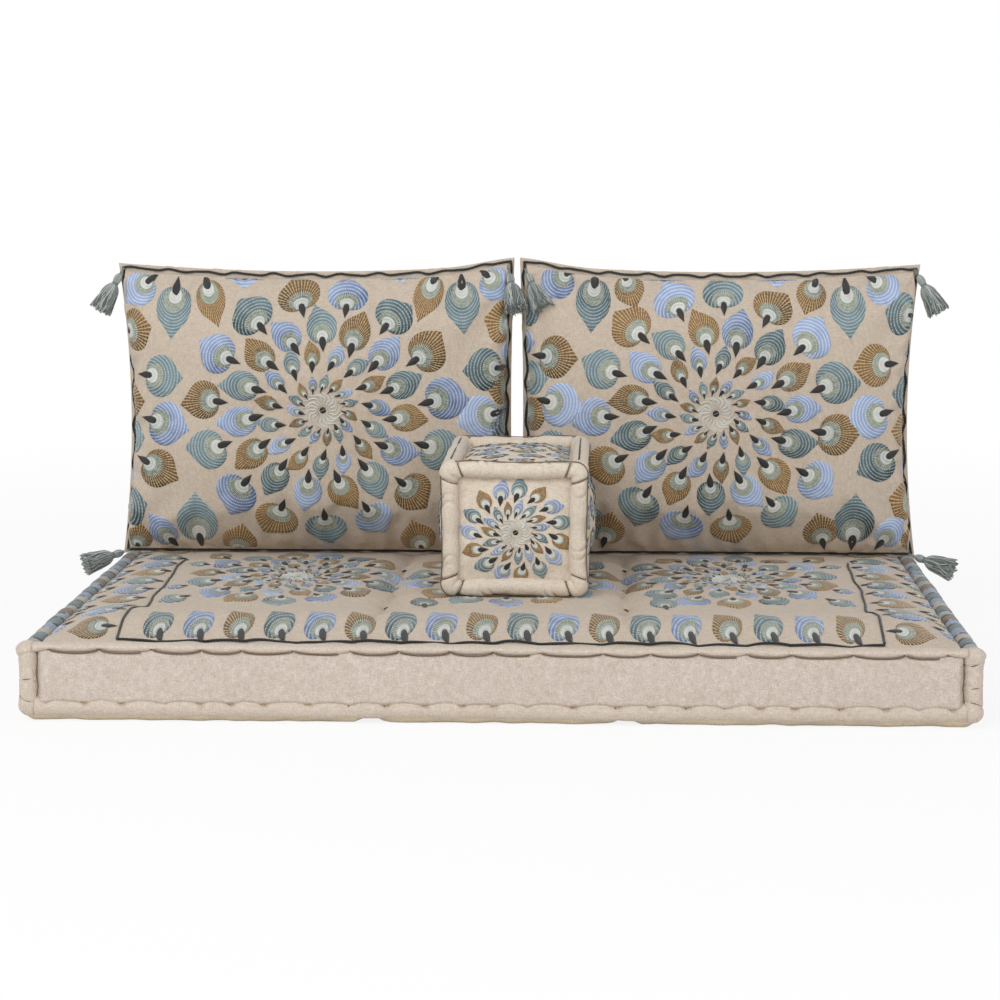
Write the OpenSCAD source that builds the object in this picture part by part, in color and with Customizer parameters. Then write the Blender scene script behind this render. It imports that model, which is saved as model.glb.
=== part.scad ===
// Garden sofa of loose cushions: a tufted seat mattress with rolled edges, two tasselled back
// cushions that stand on it and a square bolster for an arm. X runs across the seat, the front
// is at -Y, and the origin lies on the floor under the middle of the seat.

/* [Seat] */
// Width of the seat over its rolled edges
seat_w = 1200; // [1000:10:1400]
// Depth of the seat over its rolled edges
seat_d = 800; // [760:10:960]
// Height of the seat's upper rolled edge above the floor
seat_h = 100; // [85:1:130]
// Height of the seat's middle above its upper rolled edge
seat_crown = 8; // [5:1:16]
// Depth of the seam between the upper rolled edge and the top panel
seat_seam_drop = 3; // [2:1:8]
// Height that the front of the top swells above the rest of it
seat_front_swell = 10; // [4:1:14]
// Distance of the front swelling's ridge behind the seat's front
seat_front_ridge = 135; // [122:1:140]
// Distance from the front swelling's ridge to its ends
seat_front_reach = 110; // [100:1:114]
// Distance from the seam in which the top reaches its full height
seat_rise = 90; // [60:5:94]
// Thickness of the upper rolled edge
seat_top_roll_d = 24; // [18:1:30]
// Thickness of the lower rolled edge
seat_bottom_roll_d = 26; // [18:1:32]
// Thickness of the upright rolled edges at the corners
seat_corner_roll_d = 26; // [20:1:32]
// Height of the lower rolled edge above the floor
seat_roll_lift = 6; // [4:1:7]
// Height of the bottom panel's seam above the floor
seat_underside_rise = 12; // [8:1:18]
// Distance of the boxing behind the face of the rolled edges
boxing_inset = 8; // [5:1:12]
// Width of the embroidered border on each side of the seat's top
seat_border_w = 96; // [95:1:140]

/* [Seat tufting] */
// Distance between the two tufted channels across the seat
channel_gap = 320; // [280:5:400]
// Half the width of a tufted channel
channel_half_w = 32; // [20:1:40]
// Depth of a tufted channel at its ties
channel_depth = 7; // [3:1:10]
// Distance from the seat's front in which the channels fade out
channel_fade = 260; // [180:10:300]
// Distance of the front ties behind the seat's front
front_tie_y = 290; // [260:5:340]
// Distance of the rear ties in front of the bolster's rear end
rear_tie_gap = 30; // [20:5:60]
// Diameter of a tie's knot
tie_d = 9; // [5:1:12]

/* [Covers] */
// Thickness of the cloth covers
cover_t = 2; // [1:0.5:3]
// Thickness of the black seam cords
cord_d = 5; // [3:0.5:7]
// Clearance between pieces that lie against each other
fit = 0.3; // [0.2:0.05:0.4]

/* [Back cushions] */
// Distance of the back cushions' outer corners inside the seat's sides
cushion_margin = 4; // [2:1:20]
// Height of a back cushion
cushion_h = 435; // [380:5:520]
// Thickness of a back cushion at its middle
cushion_t = 140; // [110:2:160]
// Gap between the two back cushions
cushion_gap = 8; // [4:1:20]
// Distance that a cushion's upright sides draw in between the corners
cushion_pull = 15; // [5:1:25]
// Distance that a cushion's top edge sags between the corners
cushion_sag = 12; // [4:1:20]
// Width of the rear panel's edge that stands out behind the seam cord
cushion_lip = 6; // [3:0.5:8]
// Gap between the front and the rear panel at the seam
cushion_seam_t = 3; // [2:0.5:5]
// Height of the spot where the back cushions stand above the upper rolled edge
cushion_seat_rise = 4; // [2:0.5:5]

/* [Bolster] */
// Width of the bolster
bolster_w = 200; // [160:5:230]
// Height of the bolster
bolster_h = 185; // [150:5:220]
// Length of the bolster
bolster_l = 330; // [280:5:340]
// Distance of the bolster's middle to the right of the seat's middle
bolster_x = 10; // [-40:1:40]
// Gap between the bolster's rear end and the back cushions
bolster_gap = 20; // [16:1:40]
// Thickness of the bolster's rolled edges
bolster_roll_d = 24; // [18:1:30]
// Depth of the bolster's seams behind the face of its rolled edges
bolster_seam_drop = 7; // [4:1:10]
// Distance that the middle of a bolster panel stands out from its seam
bolster_crown = 9; // [5:1:12]

/* [Tassels] */
// Diameter of the knot that ties a tassel to its corner
tassel_knot_d = 4; // [3.5:0.5:5]
// Length of the loop between the knot and the head
tassel_loop_l = 9; // [6:0.5:12]
// Thickness of the loop
tassel_loop_d = 3; // [2:0.5:3]
// Diameter of a tassel's head
tassel_head_d = 12; // [9:0.5:13]
// Diameter of the binding under the head
tassel_neck_d = 9; // [6:0.5:10]
// Length of the binding under the head
tassel_neck_l = 5; // [3:0.5:7]
// Length of a tassel's skirt
tassel_skirt_l = 48; // [35:1:52]
// Diameter of the skirt at its lower end
tassel_skirt_d = 27; // [20:1:29]

/* [Hidden] */
$fn = 48;

linen = [0.80, 0.74, 0.66];
embroidery = [0.55, 0.62, 0.66];
stripes = [0.42, 0.50, 0.52];
cord_colour = [0.10, 0.10, 0.10];
wadding = [0.93, 0.92, 0.88];
yarn = [0.49, 0.53, 0.51];

// How fast a soft surface rises from its seam, as a power
rise_power = 2.5;
// Depth that the seat's underside would reach below the floor, which cuts it flat
floor_cut = 0.5;

// Grid of the seat's soft forms, from the middle out to the side seam
seat_x_shares = [0, 0.5, 1];
seat_border_shares = [0.45, 0.8, 1];
seat_rise_shares = [0, 0.2, 0.55, 1];

seat_edge_x = seat_w / 2 - seat_corner_roll_d - fit;
seat_edge_y = seat_d / 2 - seat_corner_roll_d - fit;
seam_x = seat_w / 2 - seat_top_roll_d - seat_border_w;
seat_top = seat_h + seat_crown;
channel_x = channel_gap / 2;
front_y = -seat_d / 2;

cushion_rest_z = seat_h + cushion_seat_rise;
cushion_z = cushion_rest_z + fit;
cushion_seam_y = seat_d / 2 - cushion_t / 2;
cushion_w = (seat_w - cushion_gap) / 2 - cushion_margin;
cushion_x = (cushion_w + cushion_gap) / 2;
cushion_front_y = cushion_seam_y - cushion_t / 2;

bolster_rear_y = cushion_front_y - bolster_gap;
bolster_y = bolster_rear_y - bolster_l / 2;
bolster_z = seat_top + fit;

function flip(list) = [for (k = [len(list) - 1:-1:0]) list[k]];
function without_first(list) = [for (k = [1:len(list) - 1]) list[k]];
function unit(v) = v / norm(v);
// Rises from 0 to 1 over the seat's edge, steeply at the seam
function swell(share) = 1 - pow(1 - min(max(share, 0), 1), rise_power);
// Goes smoothly from 0 to 1
function ease(share) = let (s = min(max(share, 0), 1)) s * s * (3 - 2 * s);

channel_end_x = channel_x + channel_half_w;
half_columns = concat(
    [0, channel_x - channel_half_w, channel_x],
    [for (s = seat_x_shares) channel_end_x + (seam_x - channel_end_x) * s],
    [for (s = seat_border_shares) seam_x + (seat_edge_x - seam_x) * s]);
columns = concat([for (x = flip(without_first(half_columns))) -x], half_columns);
tie_rows = [front_y + front_tie_y, bolster_rear_y - rear_tie_gap];
rows = concat(
    [for (s = seat_rise_shares) -seat_edge_y + seat_rise * s],
    [front_y + seat_front_ridge, front_y + seat_front_ridge + seat_front_reach],
    tie_rows,
    [bolster_rear_y, cushion_front_y, cushion_seam_y],
    [for (s = flip(seat_rise_shares)) if (s < 0.5) seat_edge_y - seat_rise * s]);

// Height of the seat's top: a crown with a swollen front, two tufted channels and a lower step
// under the back cushions
function seat_top_z(x, y) =
    let (
        swollen = swell((seat_edge_x - abs(x)) / seat_rise) * swell((seat_edge_y - abs(y)) / seat_rise),
        crowned = seat_h - seat_seam_drop + (seat_seam_drop + seat_crown) * swollen,
        across = 1 - ease(abs(abs(x) - channel_x) / channel_half_w),
        along = ease((y - front_y) / channel_fade),
        step = ease((y - bolster_rear_y) / (cushion_front_y - bolster_rear_y)),
        cap = seat_top - (seat_top - cushion_rest_z) * step,
        ridge = 1 - ease(abs(y - front_y - seat_front_ridge) / seat_front_reach))
    min(crowned, cap) + (seat_front_swell * ridge - channel_depth * across * along) * swollen;

// How deep the back cushions press the side cords into the seat
function cord_sink(y) =
    (cord_d - cover_t) * ease((y - bolster_rear_y) / (cushion_front_y - bolster_rear_y));

// Height of the seat's underside: three lobes that lie flat on the floor
function seat_bottom_z(x, y) =
    let (
        swollen = swell((seat_edge_x - abs(x)) / seat_rise) * swell((seat_edge_y - abs(y)) / seat_rise),
        across = 1 - ease(abs(abs(x) - channel_x) / channel_half_w))
    max(0, seat_underside_rise - (seat_underside_rise + floor_cut) * swollen + channel_depth * across);

// Corners of a grid along its rim, as column and row
function rim(n, m) = concat(
    [for (i = [0:n - 1]) [i, 0]],
    [for (j = [0:m - 1]) [n, j]],
    [for (i = [n:-1:1]) [i, m]],
    [for (j = [m:-1:1]) [0, j]]);

// A closed solid between two grids of points, with loops of points round its side
module grid_solid(n, m, upper, lower, loops = []) {
    edge = rim(n, m);
    around = len(edge);
    cells = (n + 1) * (m + 1);
    points = concat(
        [for (j = [0:m]) for (i = [0:n]) upper(i, j)],
        [for (j = [0:m]) for (i = [0:n]) lower(i, j)],
        [for (loop = loops) for (e = edge) loop(e[0], e[1])]);
    bands = concat(
        [[for (e = edge) e[1] * (n + 1) + e[0]]],
        [for (k = [0:1:len(loops) - 1]) [for (q = [0:around - 1]) 2 * cells + k * around + q]],
        [[for (e = edge) cells + e[1] * (n + 1) + e[0]]]);
    faces = concat(
        [for (j = [0:m - 1]) for (i = [0:n - 1]) let (a = j * (n + 1) + i, d = a + n + 1)
            each [[a, d, d + 1], [a, d + 1, a + 1]]],
        [for (j = [0:m - 1]) for (i = [0:n - 1]) let (a = cells + j * (n + 1) + i, d = a + n + 1)
            each [[a, d + 1, d], [a, a + 1, d + 1]]],
        [for (b = [0:len(bands) - 2]) for (q = [0:around - 1])
            let (p = bands[b], r = bands[b + 1], next = (q + 1) % around)
            each [[p[q], p[next], r[next]], [p[q], r[next], r[q]]]]);
    polyhedron(points, faces);
}

// A tube along a flat path, with side as the direction square to the path's plane
module flat_tube(path, d, side, closed, sides = 6) {
    count = len(path);
    last = closed ? count - 1 : count - 2;
    function before(k) = closed ? path[(k + count - 1) % count] : path[max(k - 1, 0)];
    function after(k) = closed ? path[(k + 1) % count] : path[min(k + 1, count - 1)];
    points = [for (k = [0:count - 1])
        let (along = unit(after(k) - before(k)), out = cross(along, side))
        for (q = [0:sides - 1])
            path[k] + d / 2 * (cos(360 * q / sides) * out + sin(360 * q / sides) * side)];
    walls = [for (k = [0:last]) for (q = [0:sides - 1])
        let (a = k * sides + q, b = k * sides + (q + 1) % sides,
            c = (k + 1) % count * sides + q, e = (k + 1) % count * sides + (q + 1) % sides)
        each [[a, b, e], [a, e, c]]];
    caps = closed ? [] : [
        for (q = [1:sides - 2]) each [[0, q + 1, q],
            [(count - 1) * sides, (count - 1) * sides + q, (count - 1) * sides + q + 1]]];
    polyhedron(points, concat(walls, caps));
}

module roll_x(length, d) {
    rotate([0, 90, 0]) cylinder(d = d, h = length, center = true);
}

module roll_y(length, d) {
    rotate([90, 0, 0]) cylinder(d = d, h = length, center = true);
}

// Seat

// A loop of the filling's side wall, drawn in at the corners past the upright rolls
function seat_loop(i, j, inset, z) =
    let (
        side = i == 0 ? -1 : i == len(columns) - 1 ? 1 : 0,
        end = j == 0 ? -1 : j == len(rows) - 1 ? 1 : 0,
        corner = side != 0 && end != 0)
    [
        side == 0 || corner ? columns[i] : side * (seat_w / 2 - inset),
        end == 0 || corner ? rows[j] : end * (seat_d / 2 - inset),
        z,
    ];

module seat_filling() {
    skin = cover_t + fit;
    wall = boxing_inset + skin;
    function sink(i, j) = abs(columns[i]) == seam_x ? cord_sink(rows[j]) : 0;
    high = seat_h - seat_top_roll_d - fit;
    low = seat_roll_lift + seat_bottom_roll_d + fit;
    function upper(i, j) = [columns[i], rows[j], seat_top_z(columns[i], rows[j]) - skin - sink(i, j)];
    function lower(i, j) = [columns[i], rows[j], seat_bottom_z(columns[i], rows[j]) + skin];
    color(wadding) grid_solid(
        len(columns) - 1, len(rows) - 1,
        function(i, j) upper(i, j), function(i, j) lower(i, j),
        [
            function(i, j) seat_loop(i, j, seat_corner_roll_d + fit, high),
            function(i, j) seat_loop(i, j, wall, high),
            function(i, j) seat_loop(i, j, wall, low),
            function(i, j) seat_loop(i, j, seat_corner_roll_d + fit, low),
        ]);
}

// A cloth panel over the seat between two columns of its grid, drawn back for the cords
module seat_panel(first, last, from_x, to_x, from_y) {
    function x_at(i) = min(max(columns[first + i], from_x), to_x);
    function y_at(j) = max(rows[j], from_y);
    grid_solid(
        last - first, len(rows) - 1,
        function(i, j) [x_at(i), y_at(j), seat_top_z(x_at(i), y_at(j))],
        function(i, j) [x_at(i), y_at(j), seat_top_z(x_at(i), y_at(j)) - cover_t]);
}

seam_column = (len(columns) - 1) / 2 - len(half_columns) + 1 + len(seat_border_shares);
cord_room = cord_d / 2 + fit;

module seat_top_panel() {
    color(embroidery) seat_panel(
        seam_column, len(columns) - 1 - seam_column,
        -seam_x + cord_room, seam_x - cord_room, -seat_edge_y + 2 * cord_room);
}

module seat_border(side) {
    first = side < 0 ? 0 : len(columns) - 1 - seam_column;
    color(embroidery) seat_panel(
        first, first + seam_column,
        side < 0 ? -seat_edge_x : seam_x + cord_room,
        side < 0 ? -seam_x - cord_room : seat_edge_x, -seat_edge_y);
}

module seat_bottom_panel() {
    color(linen) grid_solid(
        len(columns) - 1, len(rows) - 1,
        function(i, j) [columns[i], rows[j], seat_bottom_z(columns[i], rows[j]) + cover_t],
        function(i, j) [columns[i], rows[j], seat_bottom_z(columns[i], rows[j])]);
}

module seat_boxing(length, place) {
    low = seat_roll_lift + seat_bottom_roll_d + fit;
    high = seat_h - seat_top_roll_d - fit;
    color(linen) translate([0, place, (low + high) / 2])
        cube([length - 2 * (seat_corner_roll_d + fit), cover_t, high - low], center = true);
}

module seat_boxing_across(end) {
    seat_boxing(seat_w, end * (seat_d / 2 - boxing_inset - cover_t / 2));
}

module seat_boxing_along(side) {
    rotate([0, 0, 90]) seat_boxing(seat_d, side * (seat_w / 2 - boxing_inset - cover_t / 2));
}

module seat_top_roll_across(end) {
    color(linen) translate([0, end * (seat_d - seat_top_roll_d) / 2, seat_h - seat_top_roll_d / 2])
        roll_x(seat_w - 2 * (seat_corner_roll_d + fit), seat_top_roll_d);
}

module seat_top_roll_along(side) {
    color(stripes) translate([side * (seat_w - seat_top_roll_d) / 2, 0, seat_h - seat_top_roll_d / 2])
        roll_y(seat_d - 2 * (seat_corner_roll_d + fit), seat_top_roll_d);
}

module seat_bottom_rolls() {
    z = seat_roll_lift + seat_bottom_roll_d / 2;
    color(linen) for (s = [-1, 1]) {
        translate([0, s * (seat_d - seat_bottom_roll_d) / 2, z])
            roll_x(seat_w - 2 * (seat_corner_roll_d + fit), seat_bottom_roll_d);
        translate([s * (seat_w - seat_bottom_roll_d) / 2, 0, z])
            roll_y(seat_d - 2 * (seat_corner_roll_d + fit), seat_bottom_roll_d);
    }
}

module seat_corner_roll(side, end) {
    r = seat_corner_roll_d / 2;
    straight = seat_h - seat_roll_lift - 2 * r;
    color(linen) translate([side * (seat_w / 2 - r), end * (seat_d / 2 - r), seat_roll_lift + r])
        rotate_extrude() intersection() {
            union() {
                circle(r);
                translate([0, straight]) circle(r);
                square([r, straight]);
            }
            translate([0, -r]) square([r, straight + 2 * r]);
        }
}

module seat_front_cord() {
    y = -seat_edge_y + cord_room;
    end_x = seam_x - cord_d / 2;
    xs = concat([-end_x], [for (x = columns) if (abs(x) < end_x) x], [end_x]);
    color(cord_colour) flat_tube(
        [for (x = xs) [x, y, seat_top_z(x, y) - cover_t + cord_d / 2]],
        cord_d, [0, 1, 0], false);
}

module seat_side_cord(side) {
    start_y = -seat_edge_y + 2 * cord_room + cord_d / 2;
    ys = concat([start_y], [for (y = rows) if (y > start_y + cord_d) y]);
    x = side * seam_x;
    color(cord_colour) flat_tube(
        [for (y = ys) [x, y, seat_top_z(x, y) - cover_t + cord_d / 2 - cord_sink(y)]],
        cord_d, [1, 0, 0], false);
}

module seat_tuft_ties() {
    slope = channel_depth / channel_half_w;
    color(cord_colour) for (side = [-1, 1]) for (y = tie_rows)
        let (x = side * channel_x)
        translate([x, y, seat_top_z(x, y) + fit + slope * tie_d / 2]) intersection() {
            sphere(d = tie_d);
            translate([0, 0, tie_d / 2]) cube(tie_d, center = true);
        }
}

// Back cushions

cushion_cells = 12;
cushion_rows = 10;
// Powers of the swelling of a cushion's face, with a fuller lower half where it stands
puff_power = 2.4;
puff_low_power = 4;
puff_round = 0.55;

front_panel_inset = cushion_lip + cord_d;

function spread(k, count) = -cos(180 * k / count);
function puff(u, v) =
    pow(1 - pow(abs(u), puff_power), puff_round)
    * pow(1 - pow(abs(v), v < 0 ? puff_low_power : puff_power), puff_round);

// A place on a cushion's outline plane: inset draws in the sides and the top, low the bottom
function cushion_place(u, v, inset, low) =
    let (
        height = cushion_h - inset - low,
        x = u * (cushion_w / 2 - inset - cushion_pull * (1 - v * v)),
        z = low + height * (1 + v) / 2 - cushion_sag * (1 - u * u) * pow(max(v, 0), 2))
    [x, z];

function cushion_point(i, j, inset, low, depth) =
    let (
        u = spread(i, cushion_cells), v = spread(j, cushion_rows),
        place = cushion_place(u, v, inset, low))
    [place[0], depth(puff(u, v)), place[1]];

swollen_t = cushion_t / 2 - cover_t - cushion_seam_t / 2;

module cushion_panel(inset, low, facing) {
    function inner(p) = facing * (cushion_seam_t / 2 + swollen_t * p);
    function outer(p) = facing * (cushion_seam_t / 2 + cover_t + swollen_t * p);
    front = facing < 0;
    grid_solid(
        cushion_cells, cushion_rows,
        function(i, j) cushion_point(i, j, inset, low, function(p) front ? outer(p) : inner(p)),
        function(i, j) cushion_point(i, j, inset, low, function(p) front ? inner(p) : outer(p)));
}

module at_cushion(side) {
    translate([side * cushion_x, cushion_seam_y, cushion_z]) children();
}

module cushion_front_panel(side) {
    color(embroidery) at_cushion(side) cushion_panel(front_panel_inset, cord_d, -1);
}

module cushion_rear_panel(side) {
    color(linen) at_cushion(side) cushion_panel(0, 0, 1);
}

module cushion_filling(side) {
    inset = front_panel_inset + cover_t;
    low = cord_d + cover_t;
    face = cushion_seam_t / 2 - fit;
    color(wadding) at_cushion(side) grid_solid(
        cushion_cells, cushion_rows,
        function(i, j) cushion_point(i, j, inset, low, function(p) -face - swollen_t * p),
        function(i, j) cushion_point(i, j, inset, low, function(p) face + swollen_t * p));
}

cushion_cord_inset = front_panel_inset - fit - cord_d / 2;

module cushion_edge_cord(side) {
    y = cushion_seam_t / 2 - fit - cord_d / 2;
    path = [for (e = rim(cushion_cells, cushion_rows))
        let (place = cushion_place(
            spread(e[0], cushion_cells), spread(e[1], cushion_rows), cushion_cord_inset, cord_d / 2 - fit))
        [place[0], y, place[1]]];
    color(cord_colour) at_cushion(side) flat_tube(path, cord_d, [0, 1, 0], true);
}

// Tassels

tassel_head_z = tassel_loop_l + tassel_head_d / 2;
tassel_skirt_z = tassel_head_z + tassel_head_d / 2 + tassel_neck_l;
tassel_y = cushion_seam_t / 2 - 2 * fit - cord_d - tassel_knot_d / 2;
tassel_skirt_shares = [0.3, 0.78];

// Turn of a tassel: its tilt up from straight down, and its heading round Z from the front
top_outer_turn = [30, 90];
left_top_inner_turn = [38, 16];
right_top_inner_turn = [38, 40];
bottom_outer_turn = [76, 60];
bottom_inner_turn = [105, 4];

// The tie of a tassel to its corner, where upper is 1 at the top and -1 at the bottom
module at_corner(side, outer, upper) {
    place = cushion_place(side * outer, upper, cushion_cord_inset, cord_d / 2 - fit);
    at_cushion(side) translate([place[0], tassel_y, place[1]]) children();
}

module tassel_head() {
    color(yarn) union() {
        sphere(d = tassel_knot_d);
        translate([0, 0, -tassel_loop_l - tassel_head_d / 4])
            cylinder(d = tassel_loop_d, h = tassel_loop_l + tassel_head_d / 4);
        translate([0, 0, -tassel_head_z]) sphere(d = tassel_head_d);
        translate([0, 0, -tassel_skirt_z + fit])
            cylinder(d = tassel_neck_d, h = tassel_neck_l + tassel_head_d / 4);
    }
}

module tassel_skirt() {
    color(yarn) translate([0, 0, -tassel_skirt_z]) rotate_extrude() polygon([
        [0, 0],
        [tassel_neck_d / 2, 0],
        [tassel_skirt_d / 2 * tassel_skirt_shares[1], -tassel_skirt_l * tassel_skirt_shares[0]],
        [tassel_skirt_d / 2, -tassel_skirt_l],
        [0, -tassel_skirt_l],
    ]);
}

// Turns a tassel that hangs down: up by the tilt, towards a heading that starts at the front
module turned(turn, across) {
    rotate([0, 0, across * turn[1]]) rotate([-turn[0], 0, 0]) children();
}

module top_outer(side) {
    at_corner(side, 1, 1) turned(top_outer_turn, side) children();
}

// Both inner tassels at the top lean to the right
module top_inner(side) {
    at_corner(side, -1, 1) turned(side < 0 ? left_top_inner_turn : right_top_inner_turn, 1) children();
}

module bottom_outer(side) {
    at_corner(side, 1, -1) turned(bottom_outer_turn, side) children();
}

module bottom_inner(side) {
    at_corner(side, -1, -1) turned(bottom_inner_turn, side) children();
}

// Bolster

bolster_cells = 6;
bolster_inner_w = bolster_w - 2 * (bolster_roll_d + fit);
bolster_inner_h = bolster_h - 2 * (bolster_roll_d + fit);
bolster_inner_l = bolster_l - 2 * (bolster_roll_d + fit);
bolster_pad_t = bolster_roll_d - bolster_seam_drop;

module at_bolster() {
    translate([bolster_x, bolster_y, bolster_z + bolster_h / 2]) children();
}

module bolster_filling() {
    color(wadding) at_bolster()
        cube([bolster_inner_w, bolster_inner_l, bolster_inner_h], center = true);
}

// A padded panel that lies flat on its back and swells upwards
module bolster_pad(width, length, crown) {
    function at(i, size) = spread(i, bolster_cells) * size / 2;
    function round_share(i) = 1 - pow(abs(spread(i, bolster_cells)), rise_power);
    grid_solid(
        bolster_cells, bolster_cells,
        function(i, j) [at(i, width), at(j, length), bolster_pad_t + crown * round_share(i) * round_share(j)],
        function(i, j) [at(i, width), at(j, length), 0]);
}

// Where a pad's back lies: against the filling, half of size away from the bolster's middle
module bolster_long_panel(turn, size, width, crown) {
    color(embroidery) at_bolster() rotate([0, turn, 0]) translate([0, 0, size / 2 + fit])
        bolster_pad(width, bolster_inner_l, crown);
}

module bolster_end(facing) {
    color(embroidery) at_bolster() rotate([facing * 90, 0, 0]) translate([0, 0, bolster_inner_l / 2 + fit])
        bolster_pad(bolster_inner_w, bolster_inner_h, bolster_seam_drop);
}

bolster_corner_steps = 5;

// Rolled edge round an end of the bolster, with rounded corners
module bolster_end_roll(facing) {
    r = bolster_roll_d / 2;
    x = bolster_w / 2 - r;
    z = bolster_h / 2 - r;
    path = [for (c = [[1, 1], [-1, 1], [-1, -1], [1, -1]]) for (k = [0:bolster_corner_steps])
        let (
            start = c == [1, 1] ? 0 : c == [-1, 1] ? 90 : c == [-1, -1] ? 180 : 270,
            a = start + 90 * k / bolster_corner_steps)
        [c[0] * (x - r) + r * cos(a), 0, c[1] * (z - r) + r * sin(a)]];
    color(linen) at_bolster() translate([0, facing * (bolster_l / 2 - r), 0])
        flat_tube(path, bolster_roll_d, [0, -1, 0], true, 8);
}

module bolster_roll(side, upper) {
    color(linen) at_bolster()
        translate([side * (bolster_w - bolster_roll_d) / 2, 0, upper * (bolster_h - bolster_roll_d) / 2])
        roll_y(bolster_inner_l, bolster_roll_d);
}

seat_filling();
seat_top_panel();
seat_border(-1);  // seat_border_left
seat_border(1);  // seat_border_right
seat_bottom_panel();
seat_boxing_across(-1);  // seat_boxing_front
seat_boxing_across(1);  // seat_boxing_rear
seat_boxing_along(1);  // seat_boxing_left
seat_boxing_along(-1);  // seat_boxing_right
seat_top_roll_across(-1);  // seat_top_roll_front
seat_top_roll_across(1);  // seat_top_roll_rear
seat_top_roll_along(-1);  // seat_top_roll_left
seat_top_roll_along(1);  // seat_top_roll_right
seat_bottom_rolls();
seat_corner_roll(-1, -1);  // seat_corner_roll_front_left
seat_corner_roll(1, -1);  // seat_corner_roll_front_right
seat_corner_roll(-1, 1);  // seat_corner_roll_rear_left
seat_corner_roll(1, 1);  // seat_corner_roll_rear_right
seat_front_cord();
seat_side_cord(-1);  // seat_side_cord_left
seat_side_cord(1);  // seat_side_cord_right
seat_tuft_ties();
cushion_filling(-1);  // left_cushion_filling
cushion_front_panel(-1);  // left_cushion_front_panel
cushion_rear_panel(-1);  // left_cushion_rear_panel
cushion_edge_cord(-1);  // left_cushion_edge_cord
cushion_filling(1);  // right_cushion_filling
cushion_front_panel(1);  // right_cushion_front_panel
cushion_rear_panel(1);  // right_cushion_rear_panel
cushion_edge_cord(1);  // right_cushion_edge_cord
top_outer(-1) tassel_head();  // left_cushion_top_outer_tassel_head
top_outer(-1) tassel_skirt();  // left_cushion_top_outer_tassel_skirt
top_inner(-1) tassel_head();  // left_cushion_top_inner_tassel_head
top_inner(-1) tassel_skirt();  // left_cushion_top_inner_tassel_skirt
bottom_outer(-1) tassel_head();  // left_cushion_bottom_outer_tassel_head
bottom_outer(-1) tassel_skirt();  // left_cushion_bottom_outer_tassel_skirt
bottom_inner(-1) tassel_head();  // left_cushion_bottom_inner_tassel_head
bottom_inner(-1) tassel_skirt();  // left_cushion_bottom_inner_tassel_skirt
top_outer(1) tassel_head();  // right_cushion_top_outer_tassel_head
top_outer(1) tassel_skirt();  // right_cushion_top_outer_tassel_skirt
top_inner(1) tassel_head();  // right_cushion_top_inner_tassel_head
top_inner(1) tassel_skirt();  // right_cushion_top_inner_tassel_skirt
bottom_outer(1) tassel_head();  // right_cushion_bottom_outer_tassel_head
bottom_outer(1) tassel_skirt();  // right_cushion_bottom_outer_tassel_skirt
bottom_inner(1) tassel_head();  // right_cushion_bottom_inner_tassel_head
bottom_inner(1) tassel_skirt();  // right_cushion_bottom_inner_tassel_skirt
bolster_filling();
bolster_end(1);  // bolster_end_front
bolster_end(-1);  // bolster_end_rear
bolster_long_panel(0, bolster_inner_h, bolster_inner_w, bolster_crown);  // bolster_panel_top
bolster_long_panel(180, bolster_inner_h, bolster_inner_w, bolster_seam_drop - cover_t);  // bolster_panel_bottom
bolster_long_panel(-90, bolster_inner_w, bolster_inner_h, bolster_crown);  // bolster_panel_left
bolster_long_panel(90, bolster_inner_w, bolster_inner_h, bolster_crown);  // bolster_panel_right
bolster_end_roll(-1);  // bolster_end_roll_front
bolster_end_roll(1);  // bolster_end_roll_rear
bolster_roll(-1, 1);  // bolster_roll_top_left
bolster_roll(1, 1);  // bolster_roll_top_right
bolster_roll(-1, -1);  // bolster_roll_bottom_left
bolster_roll(1, -1);  // bolster_roll_bottom_right
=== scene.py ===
"""Looks of a garden sofa: embroidered linen covers, hand-stitched rolled edges, cords and tassels."""
import math

import bpy
import numpy as np
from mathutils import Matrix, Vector
from mathutils.bvhtree import BVHTree

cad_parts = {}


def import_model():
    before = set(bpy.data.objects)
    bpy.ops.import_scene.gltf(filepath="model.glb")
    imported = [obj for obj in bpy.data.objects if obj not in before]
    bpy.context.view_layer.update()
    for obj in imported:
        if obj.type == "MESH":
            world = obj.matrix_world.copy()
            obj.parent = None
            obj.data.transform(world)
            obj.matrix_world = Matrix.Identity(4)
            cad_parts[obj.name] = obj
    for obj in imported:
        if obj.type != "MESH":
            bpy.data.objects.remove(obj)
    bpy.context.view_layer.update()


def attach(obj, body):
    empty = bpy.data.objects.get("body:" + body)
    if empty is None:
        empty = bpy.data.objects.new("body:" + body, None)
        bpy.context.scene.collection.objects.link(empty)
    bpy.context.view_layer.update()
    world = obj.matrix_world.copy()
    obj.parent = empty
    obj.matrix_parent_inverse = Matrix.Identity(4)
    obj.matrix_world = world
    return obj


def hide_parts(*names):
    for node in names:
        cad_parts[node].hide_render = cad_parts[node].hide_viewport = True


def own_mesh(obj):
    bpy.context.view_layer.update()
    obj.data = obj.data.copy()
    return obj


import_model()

# Sizes of the frame, in metres
SEAT_W, SEAT_D, SEAT_H = 1.2, 0.8, 0.1
SEAT_TOP, REST_Z = 0.108, 0.104
SEAM_DROP, SEAT_RISE = 0.003, 0.09
FRONT_SWELL, FRONT_RIDGE_Y, FRONT_REACH = 0.010, -0.265, 0.11
TOP_ROLL_R, BOTTOM_ROLL_R, CORNER_R, ROLL_LIFT = 0.012, 0.013, 0.013, 0.006
EDGE_X, EDGE_Y = SEAT_W / 2 - 0.0263, SEAT_D / 2 - 0.0263
SEAM_X, CORD_Y = 0.48, -EDGE_Y + 0.0028
CHANNEL_X, CHANNEL_HALF, CHANNEL_DEPTH = 0.16, 0.032, 0.007
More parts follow.
